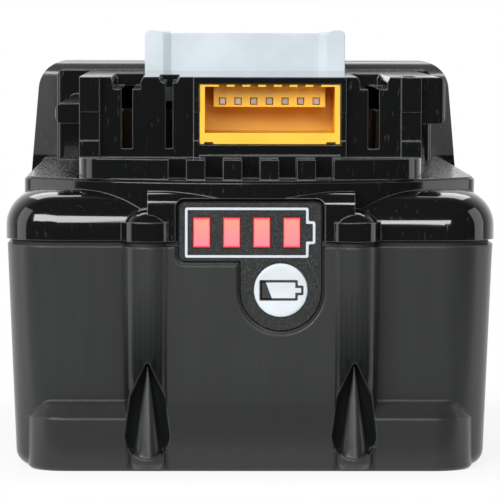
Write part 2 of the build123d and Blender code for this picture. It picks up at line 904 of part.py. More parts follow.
def make_switch_plunger():
    """Plunger between the button and the switch, free to sink by the button's travel."""
    with BuildPart() as switch_plunger:
        button_back_y = bezel_back_y + button_clearance / 2 + button_flange_height
        with BuildSketch(Plane.XZ.offset(-button_back_y)):
            with Locations((lobe_x, lobe_z)):
                Circle(plunger_radius)
        extrude(amount=-(gauge_board_y - button_travel - plunger_clearance - button_back_y))
    return switch_plunger


def hook_rib(side, top_z):
    """Thicker rib at one end of the hook, sloping into the panel, with rounded upper corners."""
    with BuildPart() as rib:
        inner = side * (hook_half_width - hook_rib_width)
        outer = side * hook_half_width
        with BuildSketch(Plane.XY.offset(arm_bottom_z)):
            with BuildLine():
                Polyline(
                    (outer, hook_y - hook_rib_stand),
                    (inner + side * hook_rib_slope, hook_y - hook_rib_stand),
                    (inner, hook_y),
                    (inner, hook_y + hook_thickness),
                    (outer, hook_y + hook_thickness),
                    close=True,
                )
            make_face()
        extrude(amount=top_z - arm_bottom_z)
        top_edges = rib.faces().sort_by(Axis.Z)[-1].edges()
        fillet(top_edges.filter_by(Axis.X, reverse=True), hook_rib_radius)
    return rib.part


def make_release_latch():
    """Hook through the slide top, arm under the hood and thumb button on the far end, in one piece."""
    with BuildPart() as release_latch:
        hook_top_z = slide_z + hook_rise
        with BuildSketch(Plane.YZ):
            with BuildLine():
                Polyline(
                    (hook_y, arm_bottom_z),
                    (hook_y, hook_top_z),
                    (hook_y + hook_thickness, hook_top_z),
                    (hook_y + hook_thickness + hook_slope, slide_z),
                    (hook_y + hook_thickness + hook_slope, arm_bottom_z),
                    close=True,
                )
            make_face()
        extrude(amount=hook_half_width, both=True)
        for side in (-1, 1):
            add(hook_rib(side, hook_top_z + hook_rib_rise))
        block(
            (-arm_half_width, arm_half_width),
            (hook_y, button_y + button_thickness / 2),
            (arm_bottom_z, arm_top_z),
        )
        with BuildSketch(Plane.XZ.offset(-button_y)):
            with Locations((0, (button_top_z + button_bottom_z) / 2)):
                RectangleRounded(2 * button_half_width, button_height, button_corner)
        extrude(amount=-button_thickness)
        grip_pitch = (button_height - 2 * button_corner) / grip_count
        with BuildSketch(Plane.XZ.offset(-(button_y + button_thickness))):
            for index in range(grip_count):
                with Locations((0, button_bottom_z + button_corner + (index + 1 / 2) * grip_pitch)):
                    Rectangle(2 * (button_half_width - button_corner), grip_height)
        extrude(amount=-grip_stand)
    return release_latch


def make_latch_spring(side):
    """Coil spring between the board carrier and the latch's arm."""
    with BuildPart() as latch_spring:
        coil_low_z = carrier_top_z + spring_wire
        coil_height = arm_bottom_z - spring_wire - coil_low_z
        foot = (side * spring_x, hood_y + spring_setback, coil_low_z)
        with BuildLine() as coil:
            Helix(coil_height / spring_turns, coil_height, spring_radius, center=foot)
        with BuildSketch(Plane(origin=coil.line @ 0, z_dir=coil.line % 0)):
            RegularPolygon(spring_wire, spring_sides)
        sweep(is_frenet=True)
    return latch_spring


def make_board_carrier():
    """Tray on the cell holders that carries the main board and seats the springs."""
    with BuildPart() as board_carrier:
        block(
            (-slide_inner + carrier_clearance, slide_inner - carrier_clearance),
            (carrier_y, rear_screw_y - boss_radius - carrier_clearance),
            (holder_top_z, carrier_top_z),
        )
        with BuildSketch(Plane.XY.offset(carrier_top_z)):
            with Locations(*[(side * spring_x, hood_y + spring_setback) for side in (-1, 1)]):
                Circle(spring_pin_radius)
        extrude(amount=spring_pin_height)
    return board_carrier


def make_main_board():
    """Control board under the slide block."""
    with BuildPart() as main_board:
        half = slide_inner - carrier_clearance - board_margin
        block((-half, half), (carrier_y, carrier_y + main_board_length), (carrier_top_z, board_top_z))
    return main_board


def make_controller_chip():
    """Flat controller chip on the main board."""
    with BuildPart() as controller_chip:
        chip_y = carrier_y + main_board_length - chip_size
        with BuildSketch(Plane.XY.offset(board_top_z)):
            with Locations((0, chip_y)):
                Rectangle(chip_size, chip_size)
        extrude(amount=chip_height)
    return controller_chip


def make_power_transistors():
    """Pair of power transistors behind the blade clips."""
    with BuildPart() as power_transistors:
        row_y = carrier_y + main_board_length - fet_length
        with BuildSketch(Plane.XY.offset(board_top_z)):
            with Locations(*[(side * (chip_size + fet_width / 2), row_y) for side in (-1, 1)]):
                Rectangle(fet_width, fet_length)
        extrude(amount=fet_height)
    return power_transistors


def make_signal_connector():
    """Socket body in the slide's front, with a comb of square holes under its ceiling."""
    with BuildPart() as signal_connector:
        half = connector_width / 2
        top_z = slide_z - connector_cover - connector_clearance
        low_z = top_z - connector_height
        back_y = slide_face_y + connector_depth
        with BuildSketch(Plane.XZ.offset(-connector_y)):
            with Locations((connector_x, (top_z + low_z) / 2)):
                Rectangle(connector_width, connector_height)
        extrude(amount=-(back_y - connector_y))
        block(
            (connector_x - half + connector_cheek, connector_x + half - connector_cheek),
            (connector_y, back_y - connector_back),
            (low_z + connector_lip, top_z - connector_ceiling),
            mode=Mode.SUBTRACT,
        )
        comb_low_z = top_z - connector_ceiling - comb_height
        comb_y = connector_y + comb_setback
        with BuildSketch(Plane.XZ.offset(-comb_y)):
            with Locations((connector_x, top_z - connector_ceiling - comb_height / 2)):
                Rectangle(comb_width, comb_height)
        extrude(amount=-(back_y - connector_back - comb_y))
        with BuildSketch(Plane.XZ.offset(-comb_y)):
            with Locations(*[(x, comb_low_z + contact_inset) for x in contact_xs]):
                Rectangle(contact_hole, contact_hole)
        extrude(amount=-(back_y - comb_y), mode=Mode.SUBTRACT)
        for hole_x in contact_xs:
            block(
                (hole_x - notch_width / 2, hole_x + notch_width / 2),
                (connector_y, connector_y + notch_depth),
                (top_z - connector_ceiling, top_z),
                mode=Mode.SUBTRACT,
            )
        for side in (-1, 1):
            notch_x = connector_x + side * (half - lip_notch_width)
            block(
                (notch_x - lip_notch_width / 2, notch_x + lip_notch_width / 2),
                (connector_y, connector_y + lip_notch_depth),
                (low_z, low_z + lip_notch_height),
                mode=Mode.SUBTRACT,
            )
        block(
            (connector_x - half + connector_cheek, connector_x + half - connector_cheek),
            (back_y - connector_back, back_y),
            (board_top_z, low_z + connector_lip),
        )
    return signal_connector


def make_signal_contacts():
    """Bent contacts, one in each hole of the comb, down to the main board."""
    with BuildPart() as signal_contacts:
        top_z = slide_z - connector_cover - connector_clearance
        contact_z = top_z - connector_ceiling - comb_height + contact_inset
        high_z = contact_z + contact_size / 2
        tip_y = connector_y + comb_setback + contact_setback
        back_y = slide_face_y + connector_depth
        for x in contact_xs:
            span = (x - contact_size / 2, x + contact_size / 2)
            block(span, (tip_y, back_y + contact_size), (high_z - contact_size, high_z))
            block(span, (back_y + contact_size / 2, back_y + 3 / 2 * contact_size), (board_top_z, high_z))
    return signal_contacts


def make_blade_clip(x, width, length):
    """Forked clip under a slot: two walls joined at the back, standing on the main board."""
    with BuildPart() as blade_clip:
        front = slide_room_y + clip_clearance + board_margin + clip_setback
        outer = width / 2 + clip_wall
        with BuildSketch(Plane.XY.offset(board_top_z)):
            with Locations((x, front + length / 2)):
                Rectangle(2 * outer, length)
            with Locations((x, front + (length - clip_wall) / 2)):
                Rectangle(width, length - clip_wall, mode=Mode.SUBTRACT)
        extrude(amount=clip_height)
    return blade_clip


def make_power_lead(side, strip_y):
    """Flat lead from an end strip over the holder to the main board's edge."""
    with BuildPart() as power_lead:
        lead_top_z = holder_top_z + lead_thickness
        strip_top_z = top_layer_z + strip_width / 2
        board_edge = slide_inner - carrier_clearance - board_margin
        with BuildSketch(Plane.XZ.offset(-strip_y)):
            with BuildLine():
                Polyline(
                    (side * holder_face, strip_top_z),
                    (side * strip_face, strip_top_z),
                    (side * strip_face, lead_top_z),
                    (side * slide_inner, lead_top_z),
                    (side * slide_inner, board_top_z + lead_thickness),
                    (side * (board_edge - lead_foot), board_top_z + lead_thickness),
                    (side * (board_edge - lead_foot), board_top_z),
                    (side * (slide_inner - carrier_clearance / 2), board_top_z),
                    (side * (slide_inner - carrier_clearance / 2), holder_top_z),
                    (side * holder_face, holder_top_z),
                    close=True,
                )
            make_face()
        extrude(amount=lead_width / 2, both=True)
    return power_lead


def make_cell(column, layer):
    """One round cell across the pack."""
    with BuildPart() as cell:
        with BuildSketch(Plane.YZ):
            with Locations((column_y(column), layer_z(layer))):
                Circle(cell_diameter / 2)
        extrude(amount=cell_length / 2, both=True)
    return cell


def make_cell_holder(side):
    """Frame over the cell ends: an eight-sided seat for each cell, closed to a lip at the outer face."""
    with BuildPart() as cell_holder:
        places = [(column_y(column), layer_z(layer)) for column in columns for layer in layers]
        with BuildSketch(Plane.YZ.offset(side * holder_face)):
            with Locations((bank_y, (floor_thickness + holder_top_z) / 2)):
                Rectangle(2 * bank_half_length, holder_top_z - floor_thickness)
        extrude(amount=-side * holder_depth)
        with BuildSketch(Plane.YZ.offset(side * cell_length / 2)):
            with Locations(*places):
                RegularPolygon(bore_radius, seat_sides, major_radius=False, rotation=seat_turn)
        extrude(amount=-side * holder_depth, mode=Mode.SUBTRACT)
        with BuildSketch(Plane.YZ.offset(side * holder_face)):
            with Locations(*places):
                Rectangle(2 * lip_hole_radius, 2 * lip_hole_radius)
        extrude(amount=-side * holder_lip, mode=Mode.SUBTRACT)
    return cell_holder


def make_cell_strip(side, first, last):
    """Strip over one or two columns of cell ends, dimpled down to each weld."""
    with BuildPart() as cell_strip:
        own = [(column_y(column), layer_z(layer)) for column in range(first, last + 1) for layer in layers]
        middle_y = (column_y(first) + column_y(last)) / 2
        reach_y = column_y(last) - column_y(first)
        with BuildSketch(Plane.YZ.offset(side * holder_face)):
            with Locations((middle_y, (first_layer_z + top_layer_z) / 2)):
                Rectangle(reach_y + strip_width, layer_pitch + strip_width)
        extrude(amount=side * strip_thickness)
        with BuildSketch(Plane.YZ.offset(side * holder_face)):
            with Locations(*own):
                Rectangle(2 * weld_radius, 2 * weld_radius)
        extrude(amount=-side * holder_lip)
    return cell_strip


def make_insulating_sheet(side):
    """Paper sheet between the strips and the wall of the housing."""
    with BuildPart() as insulating_sheet:
        with BuildSketch(Plane.YZ.offset(side * strip_face)):
            with Locations((bank_y, (floor_thickness + holder_top_z) / 2)):
                Rectangle(2 * bank_half_length, holder_top_z - floor_thickness - 2 * lead_thickness)
        extrude(amount=side * sheet_thickness)
    return insulating_sheet


def make_thermistor():
    """Bead that feels the cells' heat, in the valley between two cells under the carrier."""
    with BuildPart() as thermistor:
        valley_y = (column_y(1) + column_y(2)) / 2
        with BuildSketch(Plane.YZ):
            with Locations((valley_y, holder_top_z - thermistor_radius)):
                Circle(thermistor_radius)
        extrude(amount=thermistor_length / 2, both=True)
    return thermistor


def make_gauge_ribbon():
    """Flat cable from the gauge board over the first cell to the main board."""
    with BuildPart() as gauge_ribbon:
        rise_y = carrier_y - carrier_clearance
        with BuildSketch(Plane.YZ.offset(gauge_centre_x)):
            with BuildLine():
                Polyline(
                    (gauge_board_y + board_thickness, ribbon_z),
                    (rise_y, ribbon_z),
                    (rise_y, board_top_z),
                    (carrier_y + lead_foot, board_top_z),
                    (carrier_y + lead_foot, board_top_z + ribbon_thickness),
                    (rise_y - ribbon_thickness, board_top_z + ribbon_thickness),
                    (rise_y - ribbon_thickness, ribbon_z + ribbon_thickness),
                    (gauge_board_y + board_thickness, ribbon_z + ribbon_thickness),
                    close=True,
                )
            make_face()
        extrude(amount=ribbon_width / 2, both=True)
    return gauge_ribbon


def save(piece, name):
    """Label a finished piece and write its own file."""
    piece.part.label = name
    export_step(piece.part, f"parts/{name}.step")


os.makedirs("parts", exist_ok=True)

save(make_lower_case(), "lower_case")
save(make_upper_case(), "upper_case")
save(make_case_gasket(), "case_gasket")
save(make_case_screws(), "case_screws")
save(make_gauge_bezel(), "gauge_bezel")
save(make_light_guide(), "light_guide")
save(make_check_button(), "check_button")
save(make_gauge_board(), "gauge_board")
save(make_gauge_leds(), "gauge_leds")
save(make_switch_body(), "switch_body")
save(make_switch_plunger(), "switch_plunger")
save(make_release_latch(), "release_latch")
save(make_latch_spring(-1), "latch_spring_left")
save(make_latch_spring(1), "latch_spring_right")
save(make_board_carrier(), "board_carrier")
save(make_main_board(), "main_board")
save(make_controller_chip(), "controller_chip")
save(make_power_transistors(), "power_transistors")
save(make_signal_connector(), "signal_connector")
save(make_signal_contacts(), "signal_contacts")
save(make_blade_clip(-power_slot_x, power_slot_width, clip_length), "negative_clip")
save(make_blade_clip(power_slot_x, power_slot_width, clip_length), "positive_clip")
save(make_blade_clip(-charge_slot_x, charge_slot_width, charge_clip_length), "charge_clip")
for column in columns:
    for layer in layers:
        save(make_cell(column, layer), f"cell_{'ab'[layer]}{column + 1}")
for side, side_name in ((-1, "left"), (1, "right")):
    save(make_cell_holder(side), f"cell_holder_{side_name}")
    save(make_insulating_sheet(side), f"insulating_sheet_{side_name}")
save(make_power_lead(-1, column_y(cell_columns - 1)), "negative_lead")
save(make_power_lead(1, column_y(0)), "positive_lead")
save(make_thermistor(), "thermistor")
save(make_gauge_ribbon(), "gauge_ribbon")
for side, first, last, name in (
    (-1, 0, 1, "cell_strip_a"),
    (-1, 2, 3, "cell_strip_c"),
    (-1, 4, 4, "cell_strip_e"),
    (1, 0, 0, "cell_strip_f"),
    (1, 1, 2, "cell_strip_b"),
    (1, 3, 4, "cell_strip_d"),
):
    save(make_cell_strip(side, first, last), name)
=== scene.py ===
"""Looks of a slide-on battery pack for cordless tools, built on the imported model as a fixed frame."""

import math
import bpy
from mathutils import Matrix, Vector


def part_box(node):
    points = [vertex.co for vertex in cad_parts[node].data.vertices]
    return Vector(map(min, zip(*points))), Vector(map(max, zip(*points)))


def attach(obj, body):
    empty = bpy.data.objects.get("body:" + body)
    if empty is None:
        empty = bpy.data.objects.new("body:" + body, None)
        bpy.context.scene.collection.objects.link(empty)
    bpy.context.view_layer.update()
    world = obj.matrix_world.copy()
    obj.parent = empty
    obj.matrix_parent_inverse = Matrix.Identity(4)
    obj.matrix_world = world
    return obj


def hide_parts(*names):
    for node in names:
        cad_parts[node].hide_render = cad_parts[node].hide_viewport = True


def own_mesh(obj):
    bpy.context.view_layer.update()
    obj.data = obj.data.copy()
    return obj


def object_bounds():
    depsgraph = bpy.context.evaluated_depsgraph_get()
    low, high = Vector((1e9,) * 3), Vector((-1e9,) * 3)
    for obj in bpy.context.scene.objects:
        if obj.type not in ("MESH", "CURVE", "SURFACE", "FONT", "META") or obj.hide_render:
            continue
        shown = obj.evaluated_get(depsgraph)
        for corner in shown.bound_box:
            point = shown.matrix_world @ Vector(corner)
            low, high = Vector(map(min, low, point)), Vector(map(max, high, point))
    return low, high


bl_info = {
    "name": "Battery pack looks",
    "version": (1, 0, 0),
    "blender": (4, 5, 0),
    "location": "View3D > Sidebar > Battery pack",
    "description": "Finishes, printing, lenses, screws and cell details of a slide-on battery pack",
    "category": "Object",
}

import bmesh
import bpy
from mathutils import Matrix, Vector

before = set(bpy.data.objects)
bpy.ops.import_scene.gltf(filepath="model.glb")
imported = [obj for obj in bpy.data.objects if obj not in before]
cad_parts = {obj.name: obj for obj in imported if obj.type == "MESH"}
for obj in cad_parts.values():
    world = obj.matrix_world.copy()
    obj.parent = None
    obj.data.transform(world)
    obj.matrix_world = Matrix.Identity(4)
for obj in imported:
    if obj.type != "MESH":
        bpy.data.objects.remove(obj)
cad_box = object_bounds()

MM = 0.001
SHARP_ANGLE = math.radians(35)


# Shader maths


class Number:
    """A number inside a shader, so that maths on it reads as plain Python."""

    def __init__(self, finish, socket):
        self.finish = finish
        self.socket = socket

    def __add__(self, other):
        return self.finish.maths("ADD", self, other)

    def __radd__(self, other):
        return self.finish.maths("ADD", other, self)

    def __sub__(self, other):
        return self.finish.maths("SUBTRACT", self, other)

    def __rsub__(self, other):
        return self.finish.maths("SUBTRACT", other, self)

    def __mul__(self, other):
        return self.finish.maths("MULTIPLY", self, other)

    def __rmul__(self, other):
        return self.finish.maths("MULTIPLY", other, self)

    def __truediv__(self, other):
        return self.finish.maths("DIVIDE", self, other)

    def __abs__(self):
        return self.finish.maths("ABSOLUTE", self)

    def larger(self, other):
        """The larger of two numbers."""
        return self.finish.maths("MAXIMUM", self, other)

    def rise(self, start, end):
        """0 below start and 1 above end, with a smooth step between them."""
        sockets = {"Value": self, "From Min": start, "From Max": end}
        node = self.finish.node("ShaderNodeMapRange", {"interpolation_type": "SMOOTHSTEP"}, sockets)
        return Number(self.finish, node.outputs["Result"])


class Finish:
    """A material or world, built node by node."""

    def __init__(self, tree):
        self.tree = tree
        tree.nodes.clear()

    def node(self, kind, settings=None, sockets=None):
        """Adds a node of a kind: its settings first, then the values or links of its sockets."""
        node = self.tree.nodes.new(kind)
        for name, value in (settings or {}).items():
            setattr(node, name, value)
        for name, value in (sockets or {}).items():
            self.feed(node.inputs[name], value)
        return node

    def feed(self, socket, value):
        """Links a socket to another, or sets its own value."""
        source = value.socket if isinstance(value, Number) else value
        if isinstance(source, bpy.types.NodeSocket):
            self.tree.links.new(source, socket)
        else:
            socket.default_value = source

    def maths(self, operation, *values):
        """One step of maths on numbers."""
        node = self.node("ShaderNodeMath", {"operation": operation}, dict(enumerate(values)))
        return Number(self, node.outputs[0])

    def vector_maths(self, operation, *vectors):
        """One step of maths on vectors."""
        return self.node("ShaderNodeVectorMath", {"operation": operation}, dict(enumerate(vectors)))

    def mix(self, share, first, second):
        """Colour between two colours. A Mix node takes them in its sockets 6 and 7 and gives it in 2."""
        first = (*first, 1) if isinstance(first, tuple) else first
        second = (*second, 1) if isinstance(second, tuple) else second
        node = self.node("ShaderNodeMix", {"data_type": "RGBA"}, {0: share, 6: first, 7: second})
        return node.outputs[2]

    def place(self):
        """Place on the piece, in its own axes and in metres."""
        return self.node("ShaderNodeTexCoord").outputs["Object"]

    def parts(self, vector):
        """The three numbers of a vector."""
        node = self.node("ShaderNodeSeparateXYZ", None, {"Vector": vector})
        return [Number(self, socket) for socket in node.outputs]

    def axes(self):
        """The three numbers of the place on the piece."""
        return self.parts(self.place())

    def noise(self, grain, detail=2.0, stretch=(1, 1, 1)):
        """Cloudy number from 0 to 1, with lumps as wide as the grain, in metres."""
        place = self.vector_maths("MULTIPLY", self.place(), stretch).outputs[0]
        sockets = {"Vector": place, "Scale": 1 / grain, "Detail": detail}
        return Number(self, self.node("ShaderNodeTexNoise", None, sockets).outputs["Fac"])

    def facing(self):
        """Direction that the surface faces."""
        return self.node("ShaderNodeNewGeometry").outputs["Normal"]

    def facing_up(self):
        """1 on faces that look up and 0 on the others."""
        return self.parts(self.facing())[2].rise(0.9, 0.98)

    def soft_edges(self, radius):
        """Normal that turns softly over edges, as if they had that radius."""
        return self.node("ShaderNodeBevel", {"samples": 6}, {"Radius": radius}).outputs["Normal"]

    def edge_mask(self, radius):
        """1 along the edges of the piece and 0 on its faces."""
        likeness = self.vector_maths("DOT_PRODUCT", self.soft_edges(radius), self.facing())
        return (1 - Number(self, likeness.outputs["Value"])).rise(0.02, 0.3)

    def rays(self):
        """Three numbers: 1 on camera rays, on glossy rays and on see-through rays, and 0 on others."""
        path = self.node("ShaderNodeLightPath")
        kinds = ("Is Camera Ray", "Is Glossy Ray", "Is Transmission Ray")
        return [Number(self, path.outputs[kind]) for kind in kinds]


class SurfaceFinish(Finish):
    """A finish for pieces, round one Principled shader."""

    def __init__(self, name, fixed=None):
        material = bpy.data.materials.new(name)
        material.use_nodes = True
        super().__init__(material.node_tree)
        self.material = material
        self.surface = self.node("ShaderNodeBsdfPrincipled", None, fixed)
        self.node("ShaderNodeOutputMaterial", None, {"Surface": self.surface.outputs[0]})

    def give(self, name, value):
        """Sets or links one socket of the surface."""
        self.feed(self.surface.inputs[name], value)

    def relief(self, height, distance, radius):
        """Gives the surface a relief that rises by the distance, and edges softened to the radius."""
        sockets = {"Height": height, "Distance": distance, "Normal": self.soft_edges(radius)}
        self.give("Normal", self.node("ShaderNodeBump", None, sockets).outputs["Normal"])


# Finishes


def shade(colour, times, lift=0.0):
    """A colour made darker or paler."""
    return tuple(min(1.0, part * times + lift) for part in colour)


def grained_plastic(name, colour, roughness, grain, relief, edge):
    """Moulded plastic: cloudy tint, fine grain, softened edges, and slightly paler edges painted as a
    highlight.
    """
    finish = SurfaceFinish(name)
    cloud = finish.noise(9 * MM, 3.0)
    tint = finish.mix(cloud.rise(0.3, 0.7), shade(colour, 0.86), colour)
    # Painted highlight: the edges are painted paler.
    finish.give("Base Color", finish.mix(finish.edge_mask(edge) * 0.6, tint, shade(colour, 1.12, 0.004)))
    fine = finish.noise(grain, 2.0)
    finish.give("Roughness", roughness + (cloud - 0.5) * 0.08 + (fine - 0.5) * 0.05)
    finish.relief(fine, relief, edge)
    return finish.material


def case_grey(sizes):
    """Satin housing: faint upright streaks from the mould, painted shade towards the foot and in the
    scoops, painted highlights along the edges.
    """
    colour = tuple(sizes.grey_colour)
    scoop_shade_black = (0.004, 0.0045, 0.0045)
    finish = SurfaceFinish("case_satin_grey", {"Coat Roughness": 0.12, "Specular IOR Level": 0.42})
    x, y, z = finish.axes()
    streak = finish.noise(2.2 * MM, 3.0, (1, 1, 0.06))
    cloud = finish.noise(14 * MM, 2.0)
    tint = finish.mix(streak.rise(0.3, 0.7) * 0.6 + cloud * 0.3, colour, shade(colour, 0.72))
    # Painted shade: the lower half darkens towards its foot.
    foot = (1 - z.rise(0, sizes.foot_shade_height)) * 0.75
    tint = finish.mix(foot, tint, shade(colour, 0.3))
    # Painted highlight: the edges are painted paler.
    tint = finish.mix(finish.edge_mask(sizes.grey_edge) * 0.6, tint, shade(colour, 2.2, 0.015))
    scoop_shade_and_gloss = scoop_mask(finish, sizes, x, y, z)
    # Painted shade: the scoops beside each ridge are darkened to near black.
    finish.give("Base Color", finish.mix(scoop_shade_and_gloss * 0.9, tint, scoop_shade_black))
    fine = finish.noise(0.18 * MM, 2.0)
    rough = sizes.grey_roughness + (streak - 0.5) * 0.1 + (fine - 0.5) * 0.06
    finish.give("Roughness", rough - scoop_shade_and_gloss * 0.22)
    finish.give("Coat Weight", 0.15 - scoop_shade_and_gloss * 0.1)
    finish.relief(fine, 0.004 * MM, sizes.grey_edge)
    return finish.material


def scoop_mask(finish, sizes, x, y, z):
    """1 in the scoops on each side of their ridge, where shade is painted and the surface is glossier, and
    0 elsewhere.
    """
    skin = 0.25 * MM
    aside = abs(abs(x) - sizes.pillar_x)
    deep = y - (cad_box[0][1] + sizes.pillar_radius)
    reach = finish.maths("POWER", aside * aside + deep * deep, 0.5)
    inside = 1 - reach.rise(sizes.pillar_radius - 2 * skin, sizes.pillar_radius - skin)
    narrowing = (z - sizes.scoop_foot) / (sizes.scoop_top - sizes.scoop_foot)
    ridge = sizes.ridge_radius * (1 - narrowing)
    beside = (aside - ridge).rise(-skin, 0.05 * MM)
    return inside * beside


def case_black(sizes):
    """Polished housing: deep black, wavy and scuffed; satin hood and worn deck, both with painted sheen,
    and painted highlights on the edges.
    """
    colour = tuple(sizes.black_colour)
    hood_sheen_grey = (0.038, 0.039, 0.039)
    scratch_grey = (0.09, 0.09, 0.09)
    worn_sheen_grey = (0.065, 0.066, 0.065)
    edge_highlight_grey = (0.2, 0.205, 0.205)
    finish = SurfaceFinish("case_gloss_black", {"Coat Roughness": 0.03})
    x, y, z = finish.axes()
    wave = finish.noise(11 * MM, 1.0)
    hood = y.rise(sizes.hood_front - 0.3 * MM, sizes.hood_front - 0.1 * MM)
    hood = hood * z.rise(sizes.deck_top - 0.4 * MM, sizes.deck_top)
    scratch = finish.noise(0.45 * MM, 5.0, (1, 1, 0.22)).rise(0.62, 0.74)
    deck = deck_mask(finish, sizes, x, z)
    wear_and_sheen = finish.noise(0.34 * MM, 2.0, (1, 0.1, 1)).rise(0.5, 0.68) * deck
    # Satin hood: rougher, and its grey is painted sheen.
    tint = finish.mix(hood, colour, hood_sheen_grey)
    tint = finish.mix(scratch * 0.22, tint, scratch_grey)
    # Worn deck: rougher specks, whose paler grey is partly wear and partly painted sheen.
    tint = finish.mix(wear_and_sheen, tint, worn_sheen_grey)
    # Painted highlight: the edges are painted pale grey.
    finish.give("Base Color", finish.mix(finish.edge_mask(sizes.black_edge) * 0.8, tint, edge_highlight_grey))
    finish.give("Coat Weight", 0.45 - deck * 0.4)
    rough = sizes.black_roughness + hood * 0.16 + scratch * 0.12 + (wave - 0.5) * 0.03
    finish.give("Roughness", rough + deck * 0.1 + wear_and_sheen * 0.4)
    finish.relief(wave, 0.05 * MM, sizes.black_edge)
    return finish.material


def deck_mask(finish, sizes, x, z):
    """1 on the level deck beside the slide block and 0 elsewhere."""
    fade = 1 * MM
    beside = (abs(x) - sizes.deck_side).rise(0, 0.3 * MM)
    below = 1 - z.rise(sizes.deck_top, sizes.deck_top + fade)
    above = z.rise(sizes.deck_low, sizes.deck_low + fade)
    return beside * below * above * finish.facing_up()


def speckled_panel():
    """Dark gauge panel with fine pale specks."""
    finish = SurfaceFinish("bezel_dark", {"Specular IOR Level": 0.15})
    speck = finish.noise(0.14 * MM, 2.0)
    tint = finish.mix(speck.rise(0.5, 0.72), (0.018, 0.019, 0.019), (0.075, 0.075, 0.077))
    finish.give("Base Color", tint)
    finish.give("Roughness", 0.5 + (speck - 0.5) * 0.2)
    finish.relief(speck, 0.006 * MM, 0.1 * MM)
    return finish.material


def lit_window(half_width, half_height):
    """Frosted red lens with a painted glow of the lamp behind it: paler in its middle, deep red along its
    edges and a little warmer towards its top.
    """
    foot_red, top_red, edge_red = (0.95, 0.17, 0.21), (0.97, 0.22, 0.16), (0.55, 0.01, 0.024)
    finish = SurfaceFinish("window_red", {"Emission Strength": 0.2, "Coat Weight": 0.3})
    x, _, z = finish.axes()
    edge = (abs(x) / half_width).larger(abs(z) / half_height)
    uneven = finish.noise(0.5 * MM, 2.0)
    face = finish.mix((z / half_height).rise(-1.0, 1.0), foot_red, top_red)
    # Painted light of the lamp behind the lens: paler in the middle, deep red towards the edges.
    colour = finish.mix((edge + (uneven - 0.5) * 0.1).rise(0.78, 1.0), face, edge_red)
    finish.give("Base Color", colour)
    finish.give("Emission Color", colour)
    finish.give("Roughness", 0.42 + (uneven - 0.5) * 0.1)
    finish.relief(uneven, 0.004 * MM, 0.08 * MM)
    return finish.material


def metal(name, colour, roughness, grain, stretch=(1, 1, 1)):
    """Bare or plated metal with fine lines along its rolling direction."""
    finish = SurfaceFinish(name, {"Metallic": 1.0})
    line = finish.noise(grain, 3.0, stretch)
    cloud = finish.noise(5 * MM, 3.0)
    finish.give("Base Color", finish.mix(cloud.rise(0.35, 0.7), colour, shade(colour, 0.78)))
    finish.give("Roughness", roughness + (line - 0.5) * 0.18 + (cloud - 0.5) * 0.1)
    finish.relief(line, 0.002 * MM, 0.08 * MM)
    return finish.material


def board_lacquer():
    """Circuit board: green lacquer over raised copper lines."""
    finish = SurfaceFinish("board_green", {"Coat Weight": 0.4, "Coat Roughness": 0.15})
    sockets = {"Vector": finish.place(), "Scale": 260.0, "Mortar Size": 0.08}
    brick = finish.node("ShaderNodeTexBrick", {"offset": 0.37}, sockets)
    line = Number(finish, brick.outputs["Fac"])
    cloud = finish.noise(6 * MM, 2.0)
    base = finish.mix(cloud, (0.010, 0.12, 0.045), (0.016, 0.16, 0.062))
    finish.give("Base Color", finish.mix(line * 0.8, base, (0.035, 0.26, 0.10)))
    finish.give("Roughness", 0.3 + (cloud - 0.5) * 0.1)
    finish.relief(line, 0.03 * MM, 0.1 * MM)
    return finish.material


def fibre_sheet():
    """Pressed insulating sheet with short fibres."""
    finish = SurfaceFinish("paper_sheet", {"Specular IOR Level": 0.2})
    fibre = finish.noise(0.5 * MM, 6.0, (1, 0.2, 1))
    finish.give("Base Color", finish.mix(fibre.rise(0.3, 0.7), (0.42, 0.45, 0.34), (0.55, 0.57, 0.45)))
    finish.give("Roughness", 0.8 + (fibre - 0.5) * 0.2)
    finish.relief(fibre, 0.02 * MM, 0.05 * MM)
    return finish.material


def amber_film():
    """Flat cable: amber film with darker conductors side by side."""
    half_pitch = 0.5 * MM
    finish = SurfaceFinish("ribbon_amber", {"Coat Weight": 0.5, "Coat Roughness": 0.1})
    x, _, _ = finish.axes()
    stripe = (finish.maths("PINGPONG", x, half_pitch) / half_pitch).rise(0.35, 0.6)
    finish.give("Base Color", finish.mix(stripe, (0.42, 0.17, 0.02), (0.24, 0.10, 0.02)))
    uneven = finish.noise(1.5 * MM, 2.0)
    finish.give("Roughness", 0.28 + (uneven - 0.5) * 0.1)
    finish.relief(stripe, 0.02 * MM, 0.05 * MM)
    return finish.material


def shrink_wrap():
    """Thin shrunk wrap round a cell, with faint creases."""
    finish = SurfaceFinish("cell_wrap", {"Coat Weight": 0.5, "Coat Roughness": 0.12})
    crease = finish.noise(3 * MM, 4.0, (0.15, 1, 1))
    tint = finish.mix(crease.rise(0.3, 0.7), (0.015, 0.14, 0.085), (0.03, 0.22, 0.14))
    finish.give("Base Color", tint)
    finish.give("Roughness", 0.3 + (crease - 0.5) * 0.15)
    finish.relief(crease, 0.06 * MM, 0.2 * MM)
    return finish.material


def printed_ink(name, colour):
    """Opaque printing with slightly uneven cover."""
    finish = SurfaceFinish(name, {"Specular IOR Level": 0.3})
    cover = finish.noise(0.25 * MM, 3.0)
    finish.give("Base Color", finish.mix(cover.rise(0.35, 0.65), shade(colour, 0.9), colour))
    finish.give("Roughness", 0.5 + (cover - 0.5) * 0.2)
    finish.relief(cover, 0.002 * MM, 0.03 * MM)
    return finish.material


# Shared makers of pieces


def set_finish(material, *nodes):
    """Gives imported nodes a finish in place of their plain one."""
    for node in nodes:
        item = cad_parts[node]
        item.data.materials.clear()
        item.data.materials.append(material)


def nodes_like(start):
    """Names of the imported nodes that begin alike."""
    return sorted(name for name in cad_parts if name.startswith(start))


